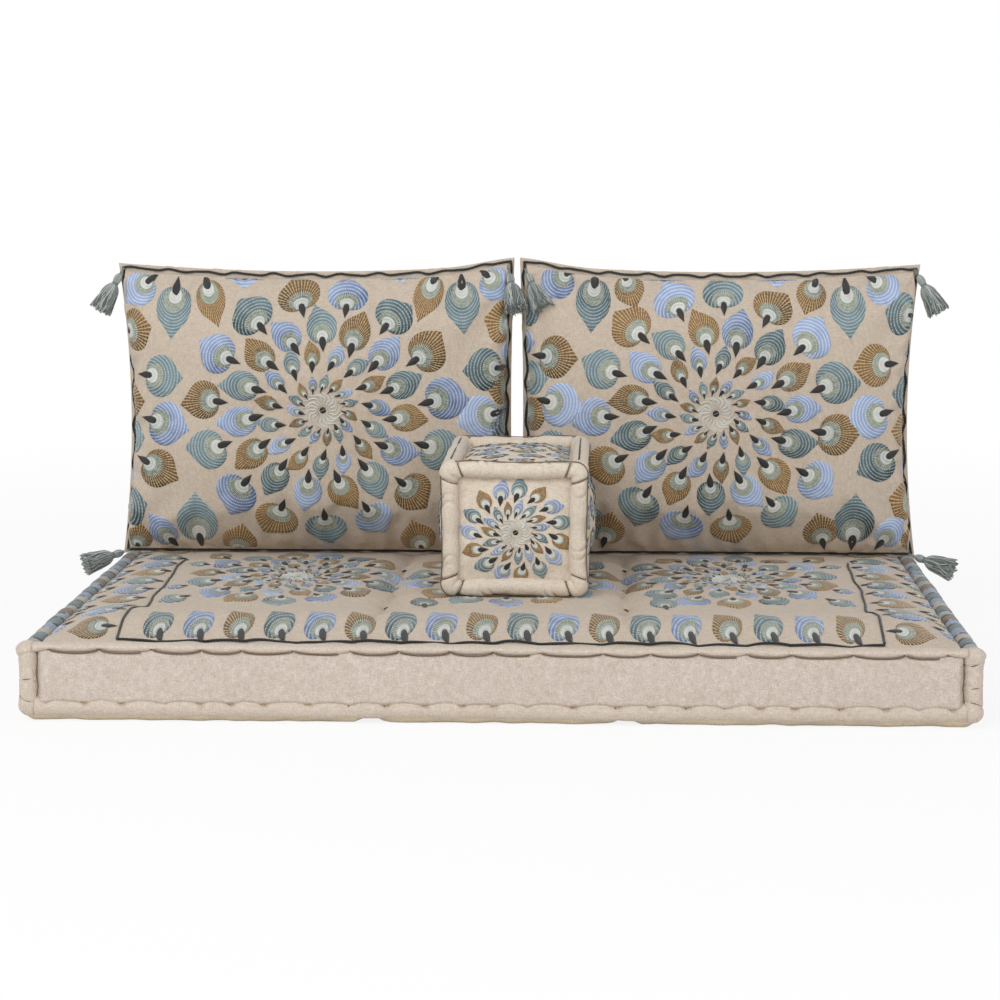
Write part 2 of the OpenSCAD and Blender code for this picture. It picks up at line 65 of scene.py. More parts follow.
TIE_ROWS = (-0.11, 0.21)
CORD_D = 0.005
CUSHION_W, CUSHION_H, CUSHION_X = 0.592, 0.435, 0.3
CUSHION_Y, CUSHION_Z = 0.33, 0.1043
PANEL_INSET, PULL_OUTER, PULL_INNER, SAG = 0.011, 0.015, 0.005, 0.012
SWOLLEN, CUSHION_FRONT, CUSHION_REAR = 0.0665, 0.2525, 0.407
BOLSTER_W, BOLSTER_H, BOLSTER_L = 0.2, 0.185, 0.33
BOLSTER_X, BOLSTER_Y, BOLSTER_Z, BOLSTER_ROLL_R = 0.010, 0.075, 0.2008, 0.012
BOLSTER_INNER_W, BOLSTER_INNER_H, BOLSTER_INNER_L = 0.1514, 0.1364, 0.2814

SIDES = ((-1, "left"), (1, "right"))
ABOVE, DOWN = 0.3, Vector((0, 0, -1))
MESH_STEP = 0.0035
STRIPE_WIDTH = 0.034
CORD_R, THREAD_R = 0.0018, 0.0007


def ease(s):
    s = np.clip(s, 0, 1)
    return s * s * (3 - 2 * s)


def swell(s):
    return 1 - (1 - np.clip(s, 0, 1)) ** 2.5


def bell(d, width):
    return np.exp(-((d / width) ** 2))


def waves(seed, count, shortest, longest, a, b=0.0):
    """Soft lumps: a sum of sine waves in seeded directions, about -1 to 1."""
    rng = np.random.default_rng(seed)
    total = np.zeros(np.broadcast(a, b).shape)
    for _ in range(count):
        turn, phase = rng.uniform(0, 2 * math.pi, 2)
        length = rng.uniform(shortest, longest)
        total += np.sin(2 * math.pi * (a * math.cos(turn) + b * math.sin(turn)) / length + phase)
    return total / math.sqrt(count)


def star(dx, dy, height, length, folds, phase, rise):
    """Small folds that run out from a place in all directions."""
    reach = np.hypot(dx, dy)
    return height * np.exp(-reach / length) * np.cos(folds * np.arctan2(dy, dx) + phase) * ease(reach / rise)


def circle(count):
    """Angles once round, with the first direction again at the end."""
    return np.linspace(0, 2 * math.pi, count)


def spread(count):
    """Places from -1 to 1 that lie closer together towards both ends."""
    return -np.cos(math.pi * np.arange(count + 1) / count)


def unit(vectors):
    return vectors / np.linalg.norm(vectors, axis=-1, keepdims=True)


def lengths_along(path):
    """How far along a path each of its points lies."""
    return np.concatenate([[0], np.cumsum(np.linalg.norm(np.diff(path, axis=0), axis=1))])


def uneven(s):
    return s + 0.006 * np.sin(s * 20.3 + 1) + 0.004 * np.sin(s * 37.1)


def stitches(s, pitch):
    """1 at each hand stitch along s and 0 midway between two, with an uneven pitch."""
    return 1 - abs(np.sin(math.pi * uneven(s) / pitch))


def stitch_places(half, pitch):
    """Where the stitches of stitches() lie between -half and half."""
    s = np.linspace(-half, half, 4000)
    count = int(half / pitch)
    return np.interp(np.arange(-count, count + 1) * pitch, uneven(s), s)


# Materials


def srgb(colour):
    channels = [c / 255 for c in colour]
    return tuple(c / 12.92 if c <= 0.04045 else ((c + 0.055) / 1.055) ** 2.4 for c in channels) + (1,)


class Nodes:
    """Short calls that add nodes to a node tree and link them."""

    def __init__(self, tree):
        self.tree = tree

    def node(self, kind, *values, **settings):
        made = self.tree.nodes.new("ShaderNode" + kind)
        for key, value in settings.items():
            setattr(made, key, value)
        for socket, value in zip(made.inputs, values):
            self.put(socket, value)
        return made

    def put(self, socket, value):
        if isinstance(value, bpy.types.NodeSocket):
            self.tree.links.new(value, socket)
        elif value is not None:
            socket.default_value = value

    def fill(self, made, **inputs):
        """Sets a node's inputs by their names, with _ for a space."""
        for name, value in inputs.items():
            self.put(made.inputs[name.replace("_", " ")], value)
        return made

    def math(self, operation, *values):
        return self.node("Math", *values, operation=operation).outputs[0]

    def plus(self, first, second):
        return self.math("ADD", first, second)

    def minus(self, first, second):
        return self.math("SUBTRACT", first, second)

    def times(self, first, second):
        return self.math("MULTIPLY", first, second)


class Shader(Nodes):
    """A node material, with short calls for the nodes that cloth and thread need."""

    def __init__(self, name, roughness, sheen=0.0, specular=0.3):
        self.material = bpy.data.materials.new(name)
        self.material.use_nodes = True
        super().__init__(self.material.node_tree)
        self.bsdf = self.fill(self.tree.nodes["Principled BSDF"], Roughness=roughness,
                              Specular_IOR_Level=specular, Sheen_Weight=sheen, Sheen_Roughness=0.5)

    def place(self, scale=(1, 1, 1)):
        coordinates = self.node("TexCoord").outputs["Object"]
        return self.node("Mapping", coordinates, None, None, scale).outputs[0]

    def noise(self, vector, scale, detail=2.0, roughness=0.6):
        made = self.node("TexNoise")
        return self.fill(made, Vector=vector, Scale=scale, Detail=detail, Roughness=roughness).outputs[0]

    def ramp(self, value, *stops, steps=False):
        made = self.node("ValToRGB", value)
        elements = made.color_ramp.elements
        if steps:
            made.color_ramp.interpolation = "CONSTANT"
        while len(elements) < len(stops):
            elements.new(0.5)
        for element, (position, colour) in zip(elements, stops):
            element.position = position
            element.color = srgb(colour)
        return made.outputs[0]

    def level(self, value, low, high):
        """0 below low, 1 above high."""
        return self.node("MapRange", value, low, high, 0.0, 1.0).outputs[0]

    def mix(self, share, first, second):
        made = self.node("Mix", data_type="RGBA")
        for socket, value in ((0, share), (6, first), (7, second)):
            self.put(made.inputs[socket], value)
        return made.outputs[2]

    def finish(self, colour, height, distance):
        bump = self.fill(self.node("Bump"), Distance=distance, Strength=1.0, Height=height)
        self.fill(self.bsdf, Base_Color=colour, Normal=bump.outputs[0])
        return self.material


def weave(shader, fine, slub):
    """Threads along each axis, told apart by which way they vary fast."""
    total = 0.0
    for axis in range(3):
        scale = [slub] * 3
        scale[axis] = fine
        total = shader.plus(total, shader.noise(shader.place(scale), 1.0, 2.0, 0.55))
    return shader.times(total, 1 / 3)


def linen(name, dark, mid, light, patches=0.15):
    shader = Shader(name, 0.92, sheen=0.15, specular=0.2)
    threads = weave(shader, 900.0, 120.0)
    speckle = shader.noise(shader.place(), 700.0, 1.0, 0.5)
    value = shader.plus(threads, shader.times(shader.minus(speckle, 0.5), 0.5))
    colour = shader.ramp(value, (0.24, dark), (0.5, mid), (0.76, light))
    cloud = shader.noise(shader.place(), 9.0, 3.0, 0.6)
    shaded = shader.mix(shader.times(shader.level(cloud, 0.45, 0.75), patches), colour, srgb(dark))
    return shader.finish(shaded, threads, 0.0011)


ARC_SHARES = {"arcs": (0.5, 0.3), "net": (0.45, 0.55), "plain": (0.4, 0.0)}


def thread(name, dark, light, stitch, style, roughness=0.5):
    """Satin stitch. The mesh attribute stitch holds a count of arcs and of rays from the eye, and a shade."""
    shader = Shader(name, roughness, sheen=0.2, specular=0.4)
    axes = shader.node("SeparateXYZ", shader.node("Attribute", attribute_name="stitch").outputs["Vector"])
    arcs = shader.math("PINGPONG", axes.outputs[0], 0.5)
    rays = shader.math("PINGPONG", axes.outputs[1], 0.5)
    on_arc = shader.level(arcs, 0.28, 0.46)
    on_ray = shader.level(rays, 0.26, 0.44)
    if style == "rays":
        mask = shader.math("MAXIMUM", on_ray, shader.times(on_arc, 0.35))
    else:
        least, more = ARC_SHARES[style]
        mask = shader.times(on_arc, shader.plus(least, shader.times(on_ray, more)))
    grain = shader.noise(shader.place(), 300.0, 2.0, 0.6)
    broken = shader.times(mask, shader.level(grain, 0.25, 0.55))
    tone = shader.minus(shader.noise(shader.place(), 60.0, 2.0, 0.5), 0.5)
    shade = shader.plus(axes.outputs[2], shader.times(tone, 0.9))
    gap = shader.minus(1.0, shader.level(rays if style == "rays" else arcs, 0.0, 0.18))
    gap = shader.times(gap, 0.0 if style == "plain" else 0.45)
    ground = shader.mix(gap, shader.mix(shader.level(shade, 0.0, 1.0), srgb(dark), srgb(light)), srgb(dark))
    colour = shader.mix(broken, ground, srgb(stitch))
    fibres = shader.math("PINGPONG", shader.times(axes.outputs[1], 4.0), 0.5)
    height = shader.plus(shader.times(mask, 0.6), shader.times(fibres, 0.6))
    return shader.finish(colour, height, 0.0005)


def black_cord():
    shader = Shader("cord_thread", 0.7, sheen=0.2)
    twist = shader.node("TexWave", shader.place(), wave_type="BANDS", bands_direction="DIAGONAL")
    fac = shader.fill(twist, Scale=140.0, Distortion=1.5).outputs[1]
    return shader.finish(shader.ramp(fac, (0.0, (20, 22, 22)), (1.0, (58, 62, 60))), fac, 0.0006)


def yarn():
    shader = Shader("tassel_yarn", 0.85, sheen=0.35, specular=0.2)
    shade = shader.node("Attribute", attribute_name="shade").outputs["Fac"]
    fuzz = shader.noise(shader.place((1, 1, 0.35)), 900.0, 2.0, 0.6)
    value = shader.plus(shader.times(shade, 0.75), shader.times(fuzz, 0.35))
    colour = shader.ramp(value, (0.1, (74, 82, 80)), (0.45, (138, 146, 142)), (0.95, (200, 206, 202)))
    return shader.finish(colour, fuzz, 0.0006)


def striped_roll():
    """Embroidered bands across the seat's side rolls, with dark curved dashes between them."""
    shader = Shader("roll_stripes", 0.6, sheen=0.25, specular=0.4)
    axes = shader.node("SeparateXYZ", shader.place())
    bend = shader.times(shader.math("SINE", shader.times(axes.outputs[2], 180.0)), 0.006)
    wobble = shader.times(shader.noise(shader.place((1, 0.3, 1)), 40.0), 0.016)
    along = shader.plus(shader.plus(axes.outputs[1], bend), wobble)
    bands = shader.math("DIVIDE", along, STRIPE_WIDTH)
    cycle = shader.math("FRACT", shader.math("DIVIDE", bands, len(STRIPE_COLOURS)))
    stops = [(round(k / len(STRIPE_COLOURS), 3), colour) for k, colour in enumerate(STRIPE_COLOURS)]
    colour = shader.ramp(cycle, *stops, steps=True)
    lines = shader.math("PINGPONG", shader.times(along, 620.0), 0.5)
    darker = shader.mix(0.35, colour, srgb((90, 96, 98)))
    stitched = shader.mix(shader.level(lines, 0.2, 0.45), darker, colour)
    dash = shader.math("GREATER_THAN", shader.math("FRACT", bands), 0.66)
    gaps = shader.level(shader.noise(shader.place((1, 0.25, 1)), 75.0), 0.44, 0.5)
    return shader.finish(shader.mix(shader.times(dash, gaps), stitched, srgb((38, 40, 42))), lines, 0.0006)


# Slots of THREADS
CREAM, SAGE, BLACK, TEAL, PERIWINKLE, BRONZE = range(6)
EMBROIDERY_COLOURS = (TEAL, PERIWINKLE, BRONZE)
STRIPE_COLOURS = (
    (118, 134, 136), (160, 176, 200), (132, 108, 78), (176, 178, 176), (106, 124, 128), (196, 188, 174),
    (148, 166, 196))

LINEN_FACE = linen("cushion_linen", (180, 163, 145), (202, 187, 170), (218, 205, 189))
LINEN_PLAIN = linen("boxing_linen", (176, 161, 147), (205, 191, 179), (228, 218, 209), patches=0.1)
LINEN_ROLL = linen("roll_linen", (182, 167, 151), (209, 195, 180), (228, 217, 205), patches=0.12)
LINEN_BOLSTER = linen("bolster_linen", (194, 180, 163), (222, 209, 192), (236, 227, 214), patches=0.1)
LINEN_UNDER = linen("underside_linen", (190, 171, 142), (216, 200, 174), (232, 219, 196))
CORD = black_cord()
YARN = yarn()
STRIPES = striped_roll()
# Brown thread for the hand stitches, also used as painted shade along the boxing's upper seam
BROWN_STITCH_AND_SEAM_SHADE = thread("brown_stitch_and_seam_shade", (84, 62, 42), (104, 80, 56), (128, 102, 74), "plain", 0.7)
TAN_STITCH = thread("tan_stitch", (146, 116, 78), (170, 140, 102), (186, 158, 120), "plain", 0.7)
THREADS = (
    thread("cream_thread", (188, 193, 188), (228, 229, 222), (248, 248, 244), "net"),
    thread("sage_thread", (70, 84, 80), (146, 156, 142), (226, 230, 210), "rays"),
    thread("black_thread", (26, 25, 24), (36, 35, 34), (64, 62, 60), "plain"),
    thread("teal_thread", (34, 50, 54), (130, 150, 156), (204, 222, 224), "net"),
    thread("periwinkle_thread", (74, 94, 132), (172, 190, 224), (232, 240, 252), "arcs"),
    thread("bronze_thread", (46, 29, 14), (136, 101, 60), (216, 187, 138), "rays"),
)


# Meshes


def edge_of(grid):
    """The points round the edge of a grid, in order."""
    return np.concatenate([grid[0], grid[1:, -1], grid[-1, -2::-1], grid[-2:0:-1, 0]])


def linked(name, data):
    made = bpy.data.objects.new(name, data)
    bpy.context.scene.collection.objects.link(made)
    return made


def points_of(mesh):
    points = np.zeros(len(mesh.vertices) * 3)
    mesh.vertices.foreach_get("co", points)
    return points.reshape(-1, 3)


def evaluated(piece):
    return piece.evaluated_get(bpy.context.evaluated_depsgraph_get()).to_mesh()


class Build:
    """Collects parts of one piece: points, faces, a material for each face and a value for each point."""

    def __init__(self):
        self.points, self.faces, self.slots, self.values = [], [], [], []
        self.count = 0

    def add(self, points, faces, slot=0, values=0.0):
        points = np.asarray(points, float).reshape(-1, 3)
        self.points.append(points)
        self.faces += [[i + self.count for i in face] for face in faces]
        self.slots += [slot] * len(faces)
        self.values.append(np.broadcast_to(np.asarray(values, float), points.shape))
        self.count += len(points)

    def grid(self, points, slot=0, wrap=False, flip=False, values=0.0):
        """A sheet of quads; wrap joins its last row to its first."""
        rows, columns = points.shape[:2]
        faces = []
        for j in range(rows if wrap else rows - 1):
            k = (j + 1) % rows
            for i in range(columns - 1):
                face = [j * columns + i, j * columns + i + 1, k * columns + i + 1, k * columns + i]
                faces.append(face[::-1] if flip else face)
        self.add(points, faces, slot, values)

    def shell(self, outer, inner, flip=False):
        """Two sheets, joined round their edges."""
        self.grid(outer, flip=flip)
        self.grid(inner, flip=not flip)
        self.grid(np.stack([edge_of(outer), edge_of(inner)], 1), wrap=True, flip=not flip)

    def cap(self, ring, flip=False, values=0.0):
        """One face across a ring of points."""
        self.add(ring, [list(range(len(ring)))[::-1 if flip else 1]], values=values)

    def tube(self, path, radius, sides=8, slot=0, closed=False, shade=0.5):
        """A tube along a path, with its radius at each point of it."""
        path = np.asarray(path, float)
        count = len(path)
        radius = np.broadcast_to(radius, count)
        ahead = np.roll(path, -1, 0) - np.roll(path, 1, 0)
        if not closed:
            ahead[0], ahead[-1] = path[1] - path[0], path[-1] - path[-2]
        ahead = unit(ahead)
        side = np.cross(ahead[0], (0, 0, 1) if abs(ahead[0][2]) < 0.9 else (1, 0, 0))
        rings = []
        turns = np.arange(sides) * 2 * math.pi / sides
        for k in range(count):
            side = unit(side - ahead[k] * side.dot(ahead[k]))
            up = np.cross(ahead[k], side)
            rings.append(path[k] + radius[k] * (np.cos(turns)[:, None] * side + np.sin(turns)[:, None] * up))
        faces = []
        for k in range(count if closed else count - 1):
            n = (k + 1) % count
            for q in range(sides):
                p = (q + 1) % sides
                faces.append([k * sides + q, k * sides + p, n * sides + p, n * sides + q])
        if not closed:
            faces.append(list(range(sides))[::-1])
            faces.append([(count - 1) * sides + q for q in range(sides)])
        self.add(np.concatenate(rings), faces, slot, shade)

    def object(self, name, materials, body, slot, nodes=(), attribute=None, padded=False):
        mesh = bpy.data.meshes.new(name)
        mesh.from_pydata(np.concatenate(self.points).tolist(), [], self.faces)
        for material in materials:
            mesh.materials.append(material)
        mesh.polygons.foreach_set("material_index", self.slots)
        mesh.polygons.foreach_set("use_smooth", [True] * len(self.faces))
        if attribute == "stitch":
            layer = mesh.attributes.new("stitch", "FLOAT_VECTOR", "POINT")
            layer.data.foreach_set("vector", np.concatenate(self.values).ravel())
        elif attribute == "shade":
            layer = mesh.attributes.new("shade", "FLOAT", "POINT")
            layer.data.foreach_set("value", np.concatenate(self.values)[:, 0])
        mesh.validate()
        mesh.update()
        piece = linked(name, mesh)
        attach(piece, body)
        if nodes:
            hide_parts(*nodes)
        return piece

    def cover(self, node, materials, body, slot="linen", attribute=None):
        """The piece that stands for one solid, named after it."""
        return self.object(f"{node}_cover", materials, body, slot, (node,), attribute)


def surface_of(piece):
    """The piece's finished surface, for laying embroidery on it."""
    mesh = evaluated(piece)
    faces = [tuple(face.vertices) for face in mesh.polygons]
    return BVHTree.FromPolygons([Vector(point) for point in points_of(mesh)], faces)


def height_of(surface, x, y):
    return surface.ray_cast(Vector((x, y, ABOVE)), DOWN)[0].z


# Embroidery

ARC_STEP, PETALS, STAMENS, SMALLEST_FACE = 0.0047, 15, 18, 2e-9


def area_of(corners):
    """The area of a flat face with these corners."""
    total = np.zeros(3)
    for k in range(1, len(corners) - 1):
        total += np.cross(corners[k] - corners[0], corners[k + 1] - corners[0])
    return np.linalg.norm(total) / 2


def finer(values, steps):
    """The rows with steps - 1 more between each two of them."""
    values = np.asarray(values, float)
    at = np.linspace(0, len(values) - 1, (len(values) - 1) * steps + 1)
    low = np.minimum(at.astype(int), len(values) - 2)
    share = (at - low).reshape(-1, *[1] * (values.ndim - 1))
    return values[low] * (1 - share) + values[low + 1] * share


def turned(x, y, p, q, heading):
    """The flat places that lie p ahead of (x, y) and q to its left, along a heading."""
    along = np.array([math.cos(heading), math.sin(heading)])
    across = np.array([-along[1], along[0]])
    return np.array([x, y]) + p[:, None] * along + q[:, None] * across


class Embroidery(Build):
    """Raised stitching that is drawn flat, in the plane of a panel, and then laid on a cushion.

    The drawing is stretched away from base. squeeze shortens and sink lowers the outer rings of a rosette.
    mood is how light the threads are, cream the size of the pale eyes, split how finely they are meshed.
    """

    base, stretch, squeeze, sink, mood, cream, split = 0.0, 1.0, 0.0, 0.0, 0.48, 1.0, 1

    def add(self, points, faces, slot=0, values=0.0):
        points = np.array(points, float).reshape(-1, 3)
        points[:, 1] = self.base + (points[:, 1] - self.base) * self.stretch
        super().add(points, faces, slot, values)

    def shape(self, rings, slots, heights, centre, counts=None, shades=None):
        """A fan of rings round a centre; slots has one material for each band between rings."""
        around = len(rings[0])
        counts = np.zeros((len(rings), around)) if counts is None else counts
        shades = np.full((len(rings), around), 0.6) if shades is None else shades
        if self.split > 1:
            slots = (slots[0], *np.repeat(slots[1:len(rings)], self.split).tolist())
            heights = (heights[0], *finer(heights[1:], self.split))
            rings, counts, shades = (finer(values, self.split) for values in (rings, counts, shades))
        points = [(*centre, heights[0])]
        values = [(0, 0, 0.6)]
        for ring, height, count, shade in zip(rings, heights[1:], counts, shades):
            for k, (a, b) in enumerate(ring):
                points.append((a, b, height))
                values.append((count[k], k / (around - 1) * self.rays, shade[k]))
        first = [[0, 1 + k, 2 + k] for k in range(around - 1)]
        self.add(points, first, slots[0], values)
        start = self.count - len(points)
        for r in range(len(rings) - 1):
            for a in range(start + 1 + r * around, start + r * around + around):
                self.faces.append([a, a + around, a + around + 1, a + 1])
                self.slots.append(slots[r + 1])

    def leaf(self, x, y, heading, reach, slim, colour, lean=0.0, point=0.0):
        """A feather round its eye: narrow behind it, full ahead, with its tip at reach along heading."""
        self.rays = round(20 + 620 * reach)
        turns = np.linspace(-math.pi, math.pi, 49 if reach > 0.03 else 29)
        full = 1 - ease((np.abs(turns) - 0.61) / 1.8)
        tip = point or min(0.27, max(0.21, 0.36 - 0.14 * slim))
        outline = 0.11 + (0.89 - tip) * full + tip * np.exp(-np.abs(turns - lean) / 0.24)
        cream = (0.09 + 0.17 * full) * self.cream
        sage = np.minimum(0.105 + 0.33 * full, 0.96 * outline)
        scales = (cream * 0.55, cream, (cream + sage) / 2, sage, sage * 0.7 + outline * 0.3,
                  sage * 0.35 + outline * 0.65, outline * 0.975, outline)
        toward = 1 if math.cos(heading) > 0 else -1
        mood = self.mood + 0.34 * math.sin(977 * x + 613 * y)
        rings, counts, shades = [], [], []
        for scale in scales:
            p, q = scale * np.cos(turns), scale * np.sin(turns) * slim
            rings.append(turned(x, y, reach * p, reach * q, heading))
            counts.append(scale * reach / ARC_STEP)
            shades.append(np.clip(mood + 0.38 * p + 0.45 * q * toward, 0, 1))
        heights = (0.0013, 0.0013, 0.0011, 0.0011, 0.0010, 0.0011, 0.0011, 0.0009, -0.0006)
        self.shape(rings, (CREAM, CREAM, SAGE, SAGE) + (colour,) * 4, heights, (x, y), counts, shades)
        self.drop(x, y, heading, reach)

    def drop(self, x, y, heading, reach):
        """The black eye: a round head at the leaf's centre with its tail pointing away from the tip."""
        self.rays = 4
        length = 0.27 * reach + 0.0095 * min(1, reach / 0.03) ** 2
        turns = circle(17)
        p = -length * (0.26 + 0.5 * np.cos(turns))
        q = length * (0.34 if reach > 0.0235 else 0.22) * np.sin(turns) * np.sin(turns / 2) ** 1.6
        rings = [turned(x, y, p * scale, q * scale, heading) for scale in (0.6, 1.0)]
        self.shape(rings, (BLACK, BLACK), (0.0021, 0.0020, 0.0009), (x, y))

    def strip(self, path, width, height):
        """A thin cream line with a raised middle and pointed ends."""
        path = np.asarray(path, float)
        ahead = unit(np.gradient(path, axis=0))
        side = np.stack([-ahead[:, 1], ahead[:, 0]], 1)
        taper = np.sin(np.linspace(0.25, math.pi - 0.12, len(path))) ** 0.7
        points = np.zeros((3, len(path), 3))
        for row, (reach, lift) in enumerate(((-1, -0.0002), (0, height), (1, -0.0002))):
            points[row, :, :2] = path + side * (taper * width / 2 * reach)[:, None]
            points[row, :, 2] = lift
        self.grid(points, CREAM, flip=True, values=(0, 0, 1))

    def stamens(self, x, y, inner, outer, width):
        """Curved lines that swirl out from the middle of a rosette."""
        share = np.linspace(0, 1, 11)
        for k in range(STAMENS):
            turn = 2 * math.pi * k / STAMENS
            bend = turn + 0.9 * share + 0.13 * np.sin(share * 3 * math.pi)
            r = inner + (outer * (1 + 0.08 * math.sin(5 * turn)) - inner) * share
            path = np.stack([x + r * np.cos(bend), y + r * np.sin(bend)], 1)
            self.strip(path, width * (1 + 0.2 * math.sin(3 * turn)), 0.0022)

    def dot(self, x, y, radius):
        """The black middle of a rosette, with a light slash across it."""
        self.rays = 6
        p, q = radius * np.cos(circle(17)), radius * np.sin(circle(17))
        rings = [np.stack([x + p * share, y + q * share], 1) for share in (0.7, 1)]
        self.shape(rings, (BLACK, BLACK), (0.0018, 0.0016, -0.0003), (x, y))
        slash = [(x + radius * s, y + 0.45 * radius * s) for s in np.linspace(-0.8, 0.8, 5)]
        self.strip(slash, radius * 0.35, 0.0023)

    def rosette(self, x, y, scale, rings, shift=0, turn=0.0, stagger=0.5):
        """Rings of feathers whose tips point outwards; each ring is turned by its share of a feather."""
        self.dot(x, y, 0.0052 * scale)
        self.stamens(x, y, 0.0075 * scale, 0.031 * scale, 0.0026 * scale)
        for n, (radius, reach, slim, twist) in enumerate(rings):
            outer = (n / 3) ** 3
            for k in range(PETALS):
                angle = turn + 2 * math.pi * (k + stagger * n) / PETALS
                short = 1 - self.squeeze * outer * math.sin(angle) ** 2
                length = reach * scale * (1 + 0.05 * math.sin(5.1 * k + 2.3 * n)) * short
                self.leaf(x + radius * scale * math.cos(angle),
                          y + radius * scale * math.sin(angle) - self.sink * outer,
                          angle + twist + 0.08 * math.sin(4.3 * k + n), length, slim / short,
                          EMBROIDERY_COLOURS[(k - n + shift) % 3], 0.30 * math.sin(2.7 * k + n))

    def lay(self, surface, keep_in, start_of, direction):
        """Moves the flat drawing onto the surface, along rays that begin at start_of each place."""
        flat = np.concatenate(self.points)
        clamped = keep_in(flat[:, 0], flat[:, 1])
        laid = np.zeros_like(flat)
        for k, (a, b) in enumerate(zip(*clamped)):
            start = Vector(start_of(a, b))
            place, normal, _, _ = surface.ray_cast(start, direction)
            if place is None:
                place, normal, _, _ = surface.find_nearest(start + direction * 0.3)
            if normal.dot(direction) > 0:
                normal = -normal
            laid[k] = place + normal * flat[k, 2]
        kept = [k for k, face in enumerate(self.faces) if area_of(laid[face]) > SMALLEST_FACE]
        used = sorted({i for k in kept for i in self.faces[k]})
        place_of = {old: new for new, old in enumerate(used)}
        self.faces = [[place_of[i] for i in self.faces[k]] for k in kept]
        self.slots = [self.slots[k] for k in kept]
        self.points = [laid[used]]
        self.values = [np.concatenate(self.values)[used]]

    def finish(self, name, body):
        self.object(name, THREADS, body, "embroidered_linen", attribute="stitch")


# Seat

STITCH_PITCH, LOW_PITCH = 0.062, 0.047
# Along the seat: the jog in the side seams, the rosettes, and the step under the back cushions
JOG_Y, SEAT_ROSETTE_Y, STEP_Y = -0.2, 0.085, 0.24


def seat_fullness(x, y):
    """0 at the edges of the seat's top, 1 where it is fully stuffed."""
    return swell((EDGE_X - abs(x)) / SEAT_RISE) * swell((EDGE_Y - abs(y)) / SEAT_RISE)


def seat_top_z(x, y):
    """The frame's seat top: a crown with two tufted channels and a step under the back cushions."""
    swollen = seat_fullness(x, y)
    crowned = SEAT_H - SEAM_DROP + (SEAM_DROP + SEAT_TOP - SEAT_H) * swollen
    across = 1 - ease(abs(abs(x) - CHANNEL_X) / CHANNEL_HALF)
    along = ease((y + SEAT_D / 2) / 0.26)
    step = ease((y - STEP_Y) / 0.02)
    cap = SEAT_TOP - (SEAT_TOP - REST_Z) * step
    ridge = 1 - ease(abs(y - FRONT_RIDGE_Y) / FRONT_REACH)
    return np.minimum(crowned, cap) + (FRONT_SWELL * ridge - CHANNEL_DEPTH * across * along) * swollen


def side_seam_x(side, y):
    """The hand-sewn side seams wander, with a jog where two lengths of border meet."""
    jog = (0.0050 - 0.0025 * side) * np.tanh((y - JOG_Y) / 0.005) * bell(y - JOG_Y, 0.14)
    wander = 0.0020 * np.sin(21 * y + 2 * side) + 0.0010 * np.sin(49 * y + side)
    return side * (SEAM_X + 0.016 * (y - JOG_Y) - jog + wander)


def seat_cover_z(x, y):
    """The seat top with a puffed front, puckers at the seams, creases in the channels and soft lumps."""
    swollen = seat_fullness(x, y)
    z = seat_top_z(x, y)
    z += 0.003 * bell(y + 0.31, 0.05) * swollen
    z += 0.0022 * bell(y + EDGE_Y, 0.03) * (0.5 - stitches(x, STITCH_PITCH) ** 1.3)
    z -= 0.0022 * bell(EDGE_X - abs(x), 0.022) * stitches(y, STITCH_PITCH) ** 1.5
    wander = CHANNEL_X + 0.003 * np.sin(y * 37) + 0.002 * np.sin(y * 91)
    crease = np.exp(-abs(abs(x) - wander) / 0.0035)
    z -= 0.0060 * crease * ease((y + 0.37) / 0.10) * ease((0.36 - y) / 0.1)
    for side in (-1, 1):
        for row in TIE_ROWS:
            dx, dy = x - side * CHANNEL_X, y - row
            z -= 0.004 * np.exp(-np.hypot(dx, dy) / 0.014)
            z += star(dx, dy, 0.0011, 0.05, 7, 2 * side + 9 * row, 0.02)
    for cx in (-0.3, 0.0, 0.3):
        dx, dy = x - cx, y - SEAT_ROSETTE_Y
        z -= 0.0035 * bell(np.hypot(dx, dy), 0.035)
        z += star(dx, dy, 0.0007, 0.08, 9, cx * 7, 0.03)
    for side in (-1, 1):
        z -= 0.0020 * np.exp(-abs(x - side_seam_x(side, y)) / 0.008) * ease((y + 0.37) / 0.02)
    z += (0.0007 * waves(3, 10, 0.05, 0.13, x, y) + 0.0003 * waves(5, 14, 0.018, 0.04, x, y)) * swollen
    under_bolster = ease((0.125 - abs(x - BOLSTER_X)) / 0.02)
    under_bolster *= ease((0.190 - abs(y - BOLSTER_Y)) / 0.02)
    pressed = np.minimum(z, SEAT_TOP - 0.0004)
    z = z + (pressed - z) * under_bolster
    behind = ease((y - 0.225) / 0.02)
    return z + (np.minimum(z, REST_Z - 0.0002) - z) * behind


def edged(half, count, border=0.03):
    """Places from -half to half, closer together in a border at both ends."""
    inner = half - border
    return np.concatenate([np.linspace(-half, -inner, 9)[:-1], np.linspace(-inner, inner, count),
                           np.linspace(inner, half, 9)[1:]])


def seat_cover():
    """The stuffed body of the seat, with its top tucked in under the rolls all round."""
    x, y = np.meshgrid(edged(EDGE_X, 290), edged(EDGE_Y, 180))
    build = Build()
    top = np.stack([x, y, seat_cover_z(x, y)], 2)
    build.grid(top)
    rim = edge_of(top)
    low = rim.copy()
    for axis, edge in ((0, EDGE_X), (1, EDGE_Y)):
        low[:, axis] += 0.004 * np.sign(rim[:, axis]) * (abs(rim[:, axis]) > edge - 1e-6)
    low[:, 2] -= 0.012
    base = rim.copy()
    base[:, 2] = 0.03
    build.grid(np.stack([rim, low, base], 1), wrap=True, flip=True)
    build.cap(base, flip=True)
    solids = ("seat_filling", "seat_top_panel", "seat_border_left", "seat_border_right")
    return build.object("seat_cover", [LINEN_FACE], "seat", "embroidered_linen", solids, padded=True)


